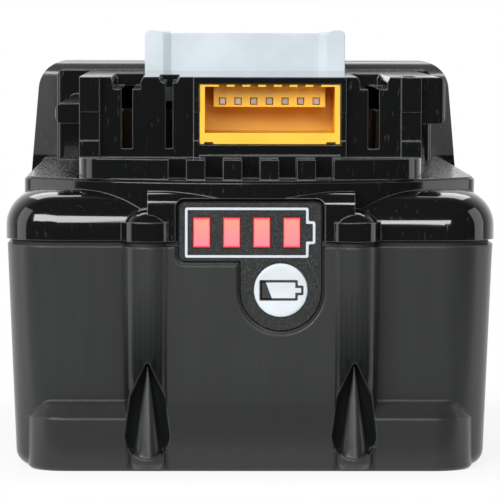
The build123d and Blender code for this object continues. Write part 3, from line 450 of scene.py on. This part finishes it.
def new_object(name, shape, material, origin):
    """Turns a bmesh, made round its own origin, into an object of the scene."""
    bmesh.ops.recalc_face_normals(shape, faces=shape.faces)
    mesh = bpy.data.meshes.new(name)
    shape.to_mesh(mesh)
    shape.free()
    mesh.materials.append(material)
    item = bpy.data.objects.new(name, mesh)
    item.location = origin
    bpy.context.scene.collection.objects.link(item)
    return item


def aimed_object(name, data, place, target, roll=0.0):
    """Adds a camera or lamp that looks from a place towards a target."""
    item = bpy.data.objects.new(name, data)
    item.location = place
    aim = (Vector(target) - Vector(place)).to_track_quat("-Z", "Y").to_matrix()
    item.rotation_euler = (aim @ Matrix.Rotation(roll, 3, "Z")).to_euler()
    bpy.context.scene.collection.objects.link(item)
    return item


def new_piece(name, shape, material, body, origin=(0, 0, 0)):
    """Turns a bmesh into a piece of the pack that rides on a body."""
    piece = new_object(name, shape, material, origin)
    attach(piece, body)
    return piece


def join_rings(shape, rings):
    """Adds the faces between each ring of corners and the next one."""
    for lower, upper in zip(rings, rings[1:]):
        for step, corner in enumerate(lower):
            after = (step + 1) % len(lower)
            shape.faces.new((corner, lower[after], upper[after], upper[step]))


def turn_profile(shape, profile, centre, axis, steps):
    """Adds a turned form to a bmesh: pairs of radius and place along the axis, about a centre."""
    along = Vector(axis).normalized()
    across = along.orthogonal().normalized()
    rings = []
    for radius, place in profile:
        start = Vector(centre) + along * place
        ring = []
        for step in range(steps):
            arm = Matrix.Rotation(math.tau * step / steps, 3, along) @ across
            ring.append(shape.verts.new(start + arm * radius))
        rings.append(ring)
    join_rings(shape, rings)
    shape.faces.new(list(reversed(rings[0])))
    shape.faces.new(rings[-1])


def smooth(piece):
    """Shades the rounds of a piece smoothly and keeps its sharp edges."""
    for face in piece.data.polygons:
        face.use_smooth = True
    piece.data.set_sharp_from_angle(angle=SHARP_ANGLE)


def upright_plate(shape, loop, front, back):
    """Adds a flat plate across the pack, from a loop of x and z places."""
    near = [shape.verts.new((x, front, z)) for x, z in loop]
    far = [shape.verts.new((x, back, z)) for x, z in loop]
    shape.faces.new(near)
    shape.faces.new(list(reversed(far)))
    join_rings(shape, [near, far])


def upright_frame(shape, outer, inner, front, back):
    """Adds a flat frame across the pack, between two loops with as many places."""
    loops = [(outer, front), (outer, back), (inner, back), (inner, front)]
    rings = [[shape.verts.new((x, depth, z)) for x, z in loop] for loop, depth in loops]
    join_rings(shape, rings + rings[:1])


def battery_loop(left, right, half_height, nub, nub_half_height, corner, inset):
    """Outline of a battery sign, body and nub in one, its corners rounded, drawn in by an inset."""
    end = right + nub - inset
    left = inset - left
    right -= inset
    half_height -= inset
    nub_half_height -= inset
    upper = [(right, nub_half_height), (right, half_height), (left, half_height)]
    lower = [(left, -half_height), (right, -half_height), (right, -nub_half_height)]
    loop = lower + [(end, -nub_half_height), (end, nub_half_height)] + upper
    return rounded(loop, corner - inset / 2)


def rounded(loop, reach):
    """A loop with each of its corners turned into a short round."""
    points = []
    for index, corner in enumerate(loop):
        corner = Vector(corner)
        before = (Vector(loop[index - 1]) - corner).normalized() * reach + corner
        after = (Vector(loop[(index + 1) % len(loop)]) - corner).normalized() * reach + corner
        for way in (0, 0.25, 0.5, 0.75, 1):
            points.append((before.lerp(corner, way)).lerp(corner.lerp(after, way), way))
    return points


def battery_sign(shape, sizes, start):
    """Adds a battery sign, printed as a line, with the sizes whose names begin alike."""
    names = ("left", "right", "half_height", "nub", "nub_half_height", "corner")
    outline = [getattr(sizes, f"{start}_{name}") for name in names]
    outer = battery_loop(*outline, 0)
    inner = battery_loop(*outline, getattr(sizes, f"{start}_line"))
    upright_frame(shape, outer, inner, -sizes.ink, sizes.ink)


def middle(node):
    """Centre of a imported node's box."""
    low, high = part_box(node)
    return (Vector(low) + Vector(high)) / 2


def block(shape, low, high):
    """Adds a box between two corners to a bmesh."""
    size = Vector(high) - Vector(low)
    place = Matrix.Translation((Vector(high) + Vector(low)) / 2) @ Matrix.Diagonal((*size, 1))
    bmesh.ops.create_cube(shape, size=1, matrix=place)


def soften(piece, width):
    """Rounds the edges of a piece."""
    rounding = piece.modifiers.new("rounded edges", "BEVEL")
    rounding.width = width
    rounding.segments = 2
    rounding.limit_method = "ANGLE"


# Sizes and colours that a user would change


def number(name, description, default, **options):
    """A number, with options such as its limits and its unit."""
    return bpy.props.FloatProperty(name=name, description=description, default=default, **options)


def length(name, description, millimetres):
    """A length, its default given in millimetres and held in metres."""
    return number(name, description, millimetres * MM, min=0, precision=5, unit="LENGTH")


def swatch(name, description, default):
    """A colour."""
    return bpy.props.FloatVectorProperty(
        name=name, description=description, default=default, size=3, min=0, max=1, subtype="COLOR"
    )


def factor(name, description, default):
    """A share from 0 to 1."""
    return number(name, description, default, min=0, max=1, subtype="FACTOR")


def power(name, description, default):
    """Power of a lamp."""
    return number(name, description, default, min=0, unit="POWER")


class CaseSizes(bpy.types.PropertyGroup):
    """Finish of the two housing halves."""

    grey_colour: swatch("Lower colour", "Colour of the satin lower half", (0.030, 0.0315, 0.031))
    black_colour: swatch("Upper colour", "Colour of the polished upper half", (0.0045, 0.005, 0.0048))
    grey_roughness: factor("Lower roughness", "How dull the lower half is", 0.3)
    black_roughness: factor("Upper roughness", "How dull the upper half is", 0.09)
    grey_edge: length("Lower edge rounding", "Radius that light sees on the lower half's edges", 0.5)
    black_edge: length("Upper edge rounding", "Radius that light sees on the upper half's edges", 0.25)
    # The lower half's darkening towards its foot is painted shade.
    foot_shade_height: length("Foot fade", "Height over which the lower half darkens to its foot", 17)
    pillar_x: length("Pillar place", "Distance of each pillar from the pack's middle", 15.7)
    pillar_radius: length("Pillar radius", "Radius of a pillar", 4.0)
    scoop_foot: length("Scoop foot", "Height of the foot of a screw scoop", 2.0)
    scoop_top: length("Scoop top", "Height of the tip of a screw scoop", 16.6)
    ridge_radius: length("Ridge radius", "Radius of the ridge in a scoop, at its foot", 2.3)
    hood_front: length("Hood front", "How far behind the pack's middle the hood starts", 35.5)
    deck_top: length("Deck top", "Height of the worn deck beside the slide block", 45)
    deck_low: length("Deck low side", "Height from which the deck is worn", 41)
    deck_side: length("Deck side", "Distance of the worn deck from the pack's middle", 26.5)


class GaugeSizes(bpy.types.PropertyGroup):
    """Printing, lenses and check button of the charge gauge."""

    print_left: length("Sign to the left", "Reach of the large sign left of the gauge's middle", 9.87)
    print_right: length("Sign to the right", "Reach of its body right of the gauge's middle", 8.83)
    print_half_height: length("Sign half height", "Half the height of the large sign", 3.8)
    print_line: length("Sign line", "Line width of the large sign", 0.38)
    print_nub: length("Sign nub", "Length of the nub", 1.03)
    print_nub_half_height: length("Sign nub half height", "Half the height of the nub", 1.72)
    print_corner: length("Sign corner", "Rounding of the large sign's corners", 0.36)
    icon_corner: length("Button sign corner", "Rounding of the small sign's corners", 0.21)
    icon_left: length("Button sign left", "Reach of the small sign left of the button's middle", 3.25)
    icon_right: length("Button sign right", "Reach of its body right of the button's middle", 2.57)
    icon_half_height: length("Button sign half height", "Half the height of the small sign", 1.57)
    icon_line: length("Button sign line", "Line width of the small sign", 0.38)
    icon_nub: length("Button sign nub", "Length of the nub of the small sign", 0.88)
    icon_nub_half_height: length("Button sign nub half height", "Half the height of that nub", 0.74)
    icon_fill: length("Button sign fill", "Width of the slanted fill at its top", 0.92)
    icon_slant: length("Button sign slant", "How much wider the fill is at its foot", 1.04)
    ink: length("Ink", "Thickness of the printing over the face below it", 0.02)
    print_colour: swatch("Print colour", "Colour of the large sign", (0.56, 0.60, 0.64))
    lens_half_width: length("Lens half width", "Half the width of a window's lens", 1.28)
    lens_half_height: length("Lens half height", "Half the height of a window's lens", 2.28)
    lens_sunk: length("Lens sunk", "How far a lens lies behind the panel's face", 0.04)
    button_rim: length("Button rim", "Rounding of the check button's rim", 0.22)
    flange_reach: length("Button flange", "How far the flange stands out round the button", 0.5)
    flange_depth: length("Button flange depth", "Thickness of the flange behind the panel", 0.4)
    button_colour: swatch("Button colour", "Colour of the check button", (0.60, 0.65, 0.69))


class LatchSizes(bpy.types.PropertyGroup):
    """Finish and travel of the release latch, and the wire of its springs."""

    latch_colour: swatch("Latch colour", "Colour of the release latch", (0.56, 0.63, 0.68))
    latch_roughness: factor("Latch roughness", "How dull the release latch is", 0.42)
    latch_edge: length("Edge rounding", "Radius that light sees on the edges", 0.3)
    latch_travel: length("Latch travel", "How far the latch goes down", 6)
    spring_wire: length("Spring wire", "Radius of the springs' wire", 0.3)


class TerminalSizes(bpy.types.PropertyGroup):
    """Finish of the signal connector and the metal contacts."""

    connector_colour: swatch("Connector colour", "Colour of the signal connector", (0.93, 0.50, 0.025))
    connector_roughness: factor("Connector roughness", "How dull the connector is", 0.38)
    contact_colour: swatch("Contact colour", "Colour of the plated contacts", (0.47, 0.35, 0.30))
    # The clips' dark colour is painted shade of the deep slots they sit in.
    clip_shaded_colour: swatch("Clip colour", "Colour of the dull blade clips", (0.07, 0.045, 0.03))


class ScrewSizes(bpy.types.PropertyGroup):
    """Heads and threads of the case screws."""

    head_radius: length("Head radius", "Radius of a screw's head", 2.3)
    head_height: length("Head height", "Height of a screw's head", 2.2)
    shank_radius: length("Shank radius", "Radius over the thread", 1.3)
    shank_plain: length("Plain shank", "Length of shank without a thread", 1.5)
    tip_radius: length("Tip radius", "Radius of the screw's tip", 0.3)
    recess_radius: length("Recess radius", "Reach of the six-lobed recess", 1.25)
    recess_depth: length("Recess depth", "Depth of the six-lobed recess", 1.1)
    lobe_depth: length("Lobe depth", "How far the recess draws in between its lobes", 0.28)
    thread_pitch: length("Thread pitch", "Rise of the thread in one turn", 1.1)
    thread_depth: length("Thread depth", "Depth of the thread", 0.28)


class InsideSizes(bpy.types.PropertyGroup):
    """Details of cells and boards inside the housing."""

    cap_radius: length("Cell cap radius", "Radius of the raised cap of a cell", 3.9)
    ring_radius: length("Cell ring radius", "Outer radius of the white ring round the cap", 6.2)
    ring_height: length("Cell ring height", "Thickness of the ring", 0.2)
    leg_width: length("Chip leg width", "Width of a chip's leg", 0.35)
    leg_pitch: length("Chip leg pitch", "Distance between a chip's legs", 0.8)
    leg_reach: length("Chip leg reach", "How far a leg stands out of its chip", 0.9)
    leg_root: length("Chip leg root", "How far a leg goes into its chip", 0.1)
    leg_height: length("Chip leg height", "Thickness of a chip's leg", 0.25)


class StageSizes(bpy.types.PropertyGroup):
    """Camera, lamps, floor and surroundings."""

    camera_x: length("Camera across", "Place of the camera left of the pack's middle", 8.69)
    camera_distance: length("Camera distance", "Distance of the camera before the pack", 576.1)
    camera_height: length("Camera height", "Height of the camera above the floor", 69.4)
    aim_x: length("Aim across", "Place that the camera looks at, left of the pack's middle", 0.21)
    aim_height: length("Aim height", "Height of that place above the floor", 33.85)
    camera_roll: number("Camera roll", "Turn about its line of sight", math.radians(0.116), subtype="ANGLE")
    lens: number("Lens", "Focal length of the camera", 275.6, min=1, subtype="DISTANCE_CAMERA")
    floor_reach: length("Floor reach", "Half the width of the floor", 450)
    floor_front: length("Floor front", "How far the floor reaches before the pack's middle", 76.5)
    shadow_reach: length("Shadow reach", "How far from the pack the floor shows its shadow", 20)
    shadow_share: factor("Shadow share", "How much of its shadow the floor shows by the pack", 0.16)
    front_power: power("Front lamp", "Power of the soft box at the front left", 5.8)
    fill_power: power("Fill lamp", "Power of the small soft box beside the camera", 0.8)
    overhead_power: power("Overhead lamp", "Power of the soft box over the far end", 3.0)
    side_power: power("Side lamps", "Power of each lamp at the sides", 0.7)
    room_light: factor("Room light", "Brightness of the surroundings for dull faces", 0.42)
    front_gloss: factor("Front gloss", "Brightness that gloss shows of what is before the pack", 0.035)


# Operators, one for each piece or group of like pieces


class PACK_OT_case(bpy.types.Operator):
    """Finish the lower and upper housing halves and the gasket between them"""

    bl_idname = "pack.case"
    bl_label = "Housing"

    def execute(self, context):
        sizes = context.scene.pack_case
        set_finish(case_grey(sizes), "lower_case")
        set_finish(case_black(sizes), "upper_case")
        black = (0.018, 0.018, 0.018)
        rubber = grained_plastic("seal_rubber", black, 0.7, 0.3 * MM, 0.01 * MM, 0.1 * MM)
        set_finish(rubber, "case_gasket")
        return {"FINISHED"}


class PACK_OT_gauge(bpy.types.Operator):
    """Finish the gauge's panel and the parts behind it, print its battery sign and make its lenses"""

    bl_idname = "pack.gauge"
    bl_label = "Charge gauge"

    def execute(self, context):
        sizes = context.scene.pack_gauge
        set_finish(speckled_panel(), "gauge_bezel", "switch_body")
        self.make_print(sizes)
        self.make_lenses(sizes)
        set_finish(board_lacquer(), "gauge_board")
        set_finish(amber_film(), "gauge_ribbon")
        return {"FINISHED"}

    def make_print(self, sizes):
        """The battery sign round the windows, printed on the panel."""
        low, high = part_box("gauge_bezel")
        shape = bmesh.new()
        battery_sign(shape, sizes, "print")
        origin = ((low[0] + high[0]) / 2, low[1], middle("light_guide").z)
        material = printed_ink("print_pale", tuple(sizes.print_colour))
        new_piece("gauge_print", shape, material, "housing", origin)

    def make_lenses(self, sizes):
        """One lens with rounded edges in each window of the panel, before its lamp."""
        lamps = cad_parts["gauge_leds"]
        sides = sorted({round(vertex.co.x, 6) for vertex in lamps.data.vertices})
        centres = [(left + right) / 2 for left, right in zip(sides[::2], sides[1::2])]
        guide_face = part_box("light_guide")[0][1]
        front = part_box("gauge_bezel")[0][1] + sizes.lens_sunk - guide_face
        back = 0.3 * MM
        half_width, half_height = sizes.lens_half_width, sizes.lens_half_height
        loop = [(-half_width, -half_height), (half_width, -half_height)]
        loop += [(half_width, half_height), (-half_width, half_height)]
        material = lit_window(half_width, half_height)
        for index, x in enumerate(centres, 1):
            shape = bmesh.new()
            upright_plate(shape, loop, front, back)
            origin = (x, guide_face, middle("light_guide").z)
            lens = new_piece(f"window_lens_{index}", shape, material, "housing", origin)
            soften(lens, 0.05 * MM)
        set_finish(material, "light_guide", "gauge_leds")


class PACK_OT_check_button(bpy.types.Operator):
    """Make the check button with its rounded rim and the small battery sign on it"""

    bl_idname = "pack.check_button"
    bl_label = "Check button"

    def execute(self, context):
        sizes = context.scene.pack_gauge
        white = tuple(sizes.button_colour)
        material = grained_plastic("button_white", white, 0.38, 0.2 * MM, 0.003 * MM, 0.12 * MM)
        set_finish(material, "switch_plunger")
        low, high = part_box("check_button")
        centre = middle("check_button")
        flange = (high[0] - low[0]) / 2
        radius = flange - sizes.flange_reach
        depth = high[1] - low[1]
        rim = sizes.button_rim
        step = depth - sizes.flange_depth
        turns = (0, math.pi / 6, math.pi / 3, math.pi / 2)
        rounding = [(radius - rim * (1 - math.sin(turn)), rim * (1 - math.cos(turn))) for turn in turns]
        profile = [(radius - 3 * rim, 0)] + rounding + [(radius, step), (flange, step), (flange, depth)]
        shape = bmesh.new()
        turn_profile(shape, profile, (0, 0, 0), (0, 1, 0), 64)
        origin = (centre.x, low[1], centre.z)
        button = new_piece("check_button_cap", shape, material, "button", origin)
        smooth(button)
        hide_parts("check_button")
        self.make_sign(sizes, origin)
        return {"FINISHED"}

    def make_sign(self, sizes, origin):
        """Small battery sign with a slanted fill, printed on the button."""
        shape = bmesh.new()
        battery_sign(shape, sizes, "icon")
        left, line = -sizes.icon_left, sizes.icon_line
        top = sizes.icon_half_height - line / 2
        fill = [(left + line / 2, -top), (left + sizes.icon_fill + sizes.icon_slant, -top)]
        fill += [(left + sizes.icon_fill, top), (left + line / 2, top)]
        upright_plate(shape, fill, -sizes.ink, sizes.ink)
        ink = printed_ink("print_dark", (0.032, 0.032, 0.033))
        new_piece("button_sign", shape, ink, "button", origin)


class PACK_OT_latch(bpy.types.Operator):
    """Finish the release latch and make its two coil springs"""

    bl_idname = "pack.latch"
    bl_label = "Release latch"

    def execute(self, context):
        sizes = context.scene.pack_latch
        tone = tuple(sizes.latch_colour)
        edge = sizes.latch_edge
        material = grained_plastic("latch_pale", tone, sizes.latch_roughness, 0.3 * MM, 0.004 * MM, edge)
        set_finish(material, "release_latch")
        steel = metal("spring_steel", (0.46, 0.46, 0.47), 0.3, 0.2 * MM)
        for node in nodes_like("latch_spring"):
            self.make_spring(node, steel, sizes)
        return {"FINISHED"}

    def make_spring(self, node, steel, sizes):
        """A spring with closed ends, in place of the imported one."""
        low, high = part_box(node)
        height = high[2] - low[2]
        foot = ((low[0] + high[0]) / 2, (low[1] + high[1]) / 2, low[2])
        shape = bmesh.new()
        self.wind_wire(shape, sizes.spring_wire, (high[0] - low[0]) / 2, height)
        spring = new_piece(f"{node}_coil", shape, steel, "housing", foot)
        smooth(spring)
        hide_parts(node)
        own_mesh(spring)

    def wind_wire(self, shape, wire, reach, height):
        """Adds a wound wire to a bmesh: a closed turn at each end and open turns between them."""
        turns, steps, sides = 5, 24, 8
        gap = 0.02 * MM
        closed_rise = 2 * wire
        open_rise = (height - 2 * (wire + gap) - 2 * closed_rise) / (turns - 2)
        angles = [math.tau * side / sides for side in range(sides)]
        rings = []
        for step in range(turns * steps + 1):
            wound = step / steps
            open_turns = min(max(wound - 1, 0), turns - 2)
            closed_turns = min(wound, 1) + max(wound - turns + 1, 0)
            rise = open_turns * open_rise + closed_turns * closed_rise
            outward = Vector((math.cos(math.tau * wound), math.sin(math.tau * wound), 0))
            centre = outward * (reach - wire) + Vector((0, 0, wire + gap + rise))
            places = [centre + outward * wire * math.cos(turn) + Vector((0, 0, wire * math.sin(turn)))
                      for turn in angles]
            rings.append([shape.verts.new(place) for place in places])
        join_rings(shape, rings)
        shape.faces.new(rings[0])
        shape.faces.new(rings[-1])


class PACK_OT_terminals(bpy.types.Operator):
    """Finish the signal connector, its contacts and the blade clips"""

    bl_idname = "pack.terminals"
    bl_label = "Terminals"

    def execute(self, context):
        sizes = context.scene.pack_terminals
        tone = tuple(sizes.connector_colour)
        rough = sizes.connector_roughness
        material = grained_plastic("connector_yellow", tone, rough, 0.3 * MM, 0.003 * MM, 0.15 * MM)
        set_finish(material, "signal_connector")
        brass = metal("contact_brass", tuple(sizes.contact_colour), 0.42, 0.15 * MM, (1, 0.2, 1))
        set_finish(brass, "signal_contacts")
        # The clips are painted dark as shade of their slots.
        copper = metal("clip_copper", tuple(sizes.clip_shaded_colour), 0.5, 0.2 * MM, (1, 0.2, 1))
        set_finish(copper, "negative_clip", "positive_clip", "charge_clip")
        return {"FINISHED"}


class PACK_OT_screws(bpy.types.Operator):
    """Make the four case screws with six-lobed recesses and threads"""

    bl_idname = "pack.screws"
    bl_label = "Case screws"

    def execute(self, context):
        sizes = context.scene.pack_screws
        low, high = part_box("case_screws")
        head = sizes.head_radius
        shape = bmesh.new()
        for x in (low[0] + head, high[0] - head):
            for y in (low[1] + head, high[1] - head):
                self.add_screw(shape, Vector((x, y, low[2])), high[2] - low[2], sizes)
        steel = metal("screw_steel", (0.42, 0.42, 0.43), 0.32, 0.2 * MM)
        screws = new_piece("case_screws_threaded", shape, steel, "housing")
        smooth(screws)
        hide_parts("case_screws")
        return {"FINISHED"}

    def add_screw(self, shape, foot, height, sizes):
        """One screw, head down, with its recess in the underside."""
        lobes = 6
        rim, rim_height = 0.3 * MM, 0.35 * MM
        head, shank, pitch = sizes.head_radius, sizes.shank_radius, sizes.thread_pitch
        root = shank - sizes.thread_depth
        neck = sizes.head_height
        place = neck + sizes.shank_plain
        profile = [(head - rim, 0), (head, rim_height), (head, neck), (shank, neck), (shank, place)]
        while place < height - 2 * pitch:
            profile.append((root, place + pitch * 0.4))
            profile.append((shank, place + pitch))
            place += pitch
        profile += [(root, height - pitch), (sizes.tip_radius, height)]
        turn_profile(shape, profile, foot, (0, 0, 1), 10 * lobes)
        shape.faces.ensure_lookup_table()
        underside = min(shape.faces[-2:], key=lambda face: face.calc_center_median().z)
        bmesh.ops.inset_region(shape, faces=[underside], thickness=rim, depth=0)
        for vertex in underside.verts:
            arm = vertex.co - foot
            turn = math.atan2(arm.y, arm.x)
            reach = sizes.recess_radius - sizes.lobe_depth * (1 - math.cos(lobes * turn)) / 2
            vertex.co = foot + Vector((math.cos(turn), math.sin(turn), 0)) * reach
        floor = bmesh.ops.extrude_face_region(shape, geom=[underside])
        pushed = [item for item in floor["geom"] if isinstance(item, bmesh.types.BMVert)]
        bmesh.ops.translate(shape, verts=pushed, vec=(0, 0, sizes.recess_depth))
        bmesh.ops.delete(shape, geom=[underside], context="FACES_ONLY")


class PACK_OT_inside(bpy.types.Operator):
    """Finish the cells, holders, strips, sheets and boards, and add the small parts on them"""

    bl_idname = "pack.inside"
    bl_label = "Inside"

    def execute(self, context):
        sizes = context.scene.pack_inside
        cells = [name for name in nodes_like("cell_") if len(name) == len("cell_a1")]
        set_finish(shrink_wrap(), *cells)
        black = (0.016, 0.016, 0.017)
        holder = grained_plastic("holder_plastic", black, 0.5, 0.3 * MM, 0.01 * MM, 0.2 * MM)
        set_finish(holder, "cell_holder_left", "cell_holder_right", "board_carrier")
        nickel = metal("strip_nickel", (0.62, 0.60, 0.56), 0.28, 0.2 * MM, (1, 0.15, 1))
        set_finish(nickel, *nodes_like("cell_strip"), "negative_lead", "positive_lead")
        set_finish(fibre_sheet(), "insulating_sheet_left", "insulating_sheet_right")
        set_finish(board_lacquer(), "main_board")
        dark = (0.02, 0.02, 0.021)
        chip = grained_plastic("chip_black", dark, 0.45, 0.2 * MM, 0.008 * MM, 0.1 * MM)
        set_finish(chip, "controller_chip", "power_transistors", "thermistor")
        self.make_cell_ends(cells, sizes)
        self.make_chip_legs(sizes)
        return {"FINISHED"}

    def make_cell_ends(self, cells, sizes):
        """White ring round the positive end of each cell; the ends alternate by column."""
        white = printed_ink("ring_white", (0.78, 0.78, 0.76))
        outer, inner, thick = sizes.ring_radius, sizes.cap_radius, sizes.ring_height
        steps = 40
        angles = [math.tau * step / steps for step in range(steps)]
        for name in cells:
            low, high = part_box(name)
            side = 1 if int(name[-1]) % 2 else -1
            end = high[0] if side > 0 else low[0]
            centre = (end, (low[1] + high[1]) / 2, (low[2] + high[2]) / 2)
            shape = bmesh.new()
            rings = []
            for radius, depth in ((outer, 0), (outer, thick), (inner, thick), (inner, 0)):
                places = [(side * depth, radius * math.cos(turn), radius * math.sin(turn))
                          for turn in angles]
                rings.append([shape.verts.new(place) for place in places])
            join_rings(shape, rings + rings[:1])
            piece = new_piece(f"{name}_ring", shape, white, "housing", centre)
            smooth(piece)

    def make_chip_legs(self, sizes):
        """Tinned legs along two sides of the controller chip."""
        low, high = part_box("controller_chip")
        half_width = sizes.leg_width / 2
        count = int((high[1] - low[1]) / sizes.leg_pitch)
        start = (low[1] + high[1]) / 2 - (count - 1) / 2 * sizes.leg_pitch
        shape = bmesh.new()
        for index in range(count):
            y = start + index * sizes.leg_pitch
            for side, edge in ((-1, low[0]), (1, high[0])):
                near, far = sorted((edge - side * sizes.leg_root, edge + side * sizes.leg_reach))
                corner = (far, y + half_width, low[2] + sizes.leg_height)
                block(shape, (near, y - half_width, low[2]), corner)
        tin = metal("solder_tin", (0.62, 0.62, 0.62), 0.3, 0.2 * MM)
        legs = new_piece("chip_legs", shape, tin, "housing")
        soften(legs, 0.05 * MM)


class PACK_OT_stage(bpy.types.Operator):
    """Set up the camera, the lamps, the floor and the white surroundings"""

    bl_idname = "pack.stage"
    bl_label = "Stage"

    def execute(self, context):
        scene = context.scene
        sizes = scene.pack_stage
        scene.view_settings.view_transform = "Standard"
        self.make_camera(scene, sizes)
        self.make_floor(sizes)
        self.make_lamps(sizes)
        self.make_surroundings(scene, sizes)
        return {"FINISHED"}

    def make_camera(self, scene, sizes):
        """Camera where the photograph was taken from."""
        camera = bpy.data.cameras.new("camera")
        camera.lens = sizes.lens
        camera.sensor_width = 36
        camera.clip_start = 0.01
        camera.clip_end = 20
        front = cad_box[0][1]
        place = (-sizes.camera_x, front - sizes.camera_distance, sizes.camera_height)
        target = (-sizes.aim_x, front, sizes.aim_height)
        scene.camera = aimed_object("camera", camera, place, target, sizes.camera_roll)

    def make_floor(self, sizes):
        """Pale floor just below the pack, which ends shortly before it."""
        reach, front, back = sizes.floor_reach, -sizes.floor_front, 2 * sizes.floor_reach
        drop = 0.02 * MM
        corners = [(-reach, front), (reach, front), (reach, back), (-reach, back)]
        shape = bmesh.new()
        shape.faces.new([shape.verts.new((x, y, 0)) for x, y in corners])
        floor = new_object("floor", shape, self.floor_paint(sizes), (0, 0, -drop))

    def floor_paint(self, sizes):
        """Paint that shows white to the camera and keeps a soft shadow near the pack."""
        material = bpy.data.materials.new("floor_pale")
        material.use_nodes = True
        finish = Finish(material.node_tree)
        paint = finish.node("ShaderNodeBsdfDiffuse", None, {"Color": (0.7, 0.7, 0.71, 1)})
        glow = finish.node("ShaderNodeEmission", None, {"Color": (1, 1, 1, 1), "Strength": 1.0})
        camera, glossy, clear = finish.rays()
        x, y, _ = finish.axes()
        high = cad_box[1]
        away = (abs(x) - high[0]).larger(abs(y) - high[1]).rise(0.0, sizes.shadow_reach)
        seen = camera.larger(glossy).larger(clear)
        white = seen * (1 - sizes.shadow_share + away * sizes.shadow_share)
        sockets = {0: white, 1: paint.outputs[0], 2: glow.outputs[0]}
        both = finish.node("ShaderNodeMixShader", None, sockets)
        finish.node("ShaderNodeOutputMaterial", None, {"Surface": both.outputs[0]})
        return material

    def make_lamps(self, sizes):
        """Soft boxes at the front left, by the camera, over the far end and at each side."""
        target = (0, 0, 40 * MM)
        lamps = (
            ("lamp_front", (-0.33, -0.60, 0.335), (0.70, 0.27), sizes.front_power),
            ("lamp_fill", (0.10, -0.62, 0.19), (0.20, 0.12), sizes.fill_power),
            ("lamp_overhead", (0.0, 0.30, 0.58), (0.70, 0.34), sizes.overhead_power),
            ("lamp_left", (-0.60, -0.06, 0.22), (0.30, 0.50), sizes.side_power),
            ("lamp_right", (0.60, -0.06, 0.22), (0.30, 0.50), sizes.side_power),
        )
        for name, place, spread, energy in lamps:
            lamp = bpy.data.lights.new(name, "AREA")
            lamp.shape = "RECTANGLE"
            lamp.size, lamp.size_y = spread
            lamp.energy = energy
            aimed_object(name, lamp, place, target)

    def make_surroundings(self, scene, sizes):
        """White to the camera; to the pack's gloss bright behind it and dark beside and before it."""
        world = bpy.data.worlds.new("studio")
        world.use_nodes = True
        scene.world = world
        finish = Finish(world.node_tree)
        direction = finish.node("ShaderNodeTexCoord").outputs["Generated"]
        behind = finish.parts(direction)[1].rise(0.0, 0.9)
        camera, glossy, clear = finish.rays()
        in_gloss = glossy.larger(clear) * (behind * (1 - sizes.front_gloss) + sizes.front_gloss)
        on_dull = (1 - camera.larger(glossy).larger(clear)) * sizes.room_light
        sockets = {"Color": (1, 1, 1, 1), "Strength": camera + in_gloss + on_dull}
        light = finish.node("ShaderNodeBackground", None, sockets)
        finish.node("ShaderNodeOutputWorld", None, {"Surface": light.outputs[0]})


class PACK_PT_panel(bpy.types.Panel):
    """Steps that dress the battery pack"""

    bl_idname = "PACK_PT_panel"
    bl_label = "Battery pack"
    bl_space_type = "VIEW_3D"
    bl_region_type = "UI"
    bl_category = "Battery pack"

    def draw(self, context):
        for step in STEPS:
            self.layout.operator(step.bl_idname)


STEPS = (
    PACK_OT_case,
    PACK_OT_gauge,
    PACK_OT_check_button,
    PACK_OT_latch,
    PACK_OT_terminals,
    PACK_OT_screws,
    PACK_OT_inside,
    PACK_OT_stage,
)

GROUPS = {
    "pack_case": CaseSizes,
    "pack_gauge": GaugeSizes,
    "pack_latch": LatchSizes,
    "pack_terminals": TerminalSizes,
    "pack_screws": ScrewSizes,
    "pack_inside": InsideSizes,
    "pack_stage": StageSizes,
}


def register():
    """Registers the groups, the steps and the panel."""
    for name, group in GROUPS.items():
        bpy.utils.register_class(group)
        setattr(bpy.types.Scene, name, bpy.props.PointerProperty(type=group))
    for step in STEPS:
        bpy.utils.register_class(step)
    bpy.utils.register_class(PACK_PT_panel)


def unregister():
    """Takes everything back."""
    bpy.utils.unregister_class(PACK_PT_panel)
    for step in reversed(STEPS):
        bpy.utils.unregister_class(step)
    for name, group in GROUPS.items():
        delattr(bpy.types.Scene, name)
        bpy.utils.unregister_class(group)


def main():
    """Dresses the pack step by step."""
    register()
    for step in STEPS:
        family, action = step.bl_idname.split(".")
        getattr(getattr(bpy.ops, family), action)()


if __name__ == "__main__":
    main()
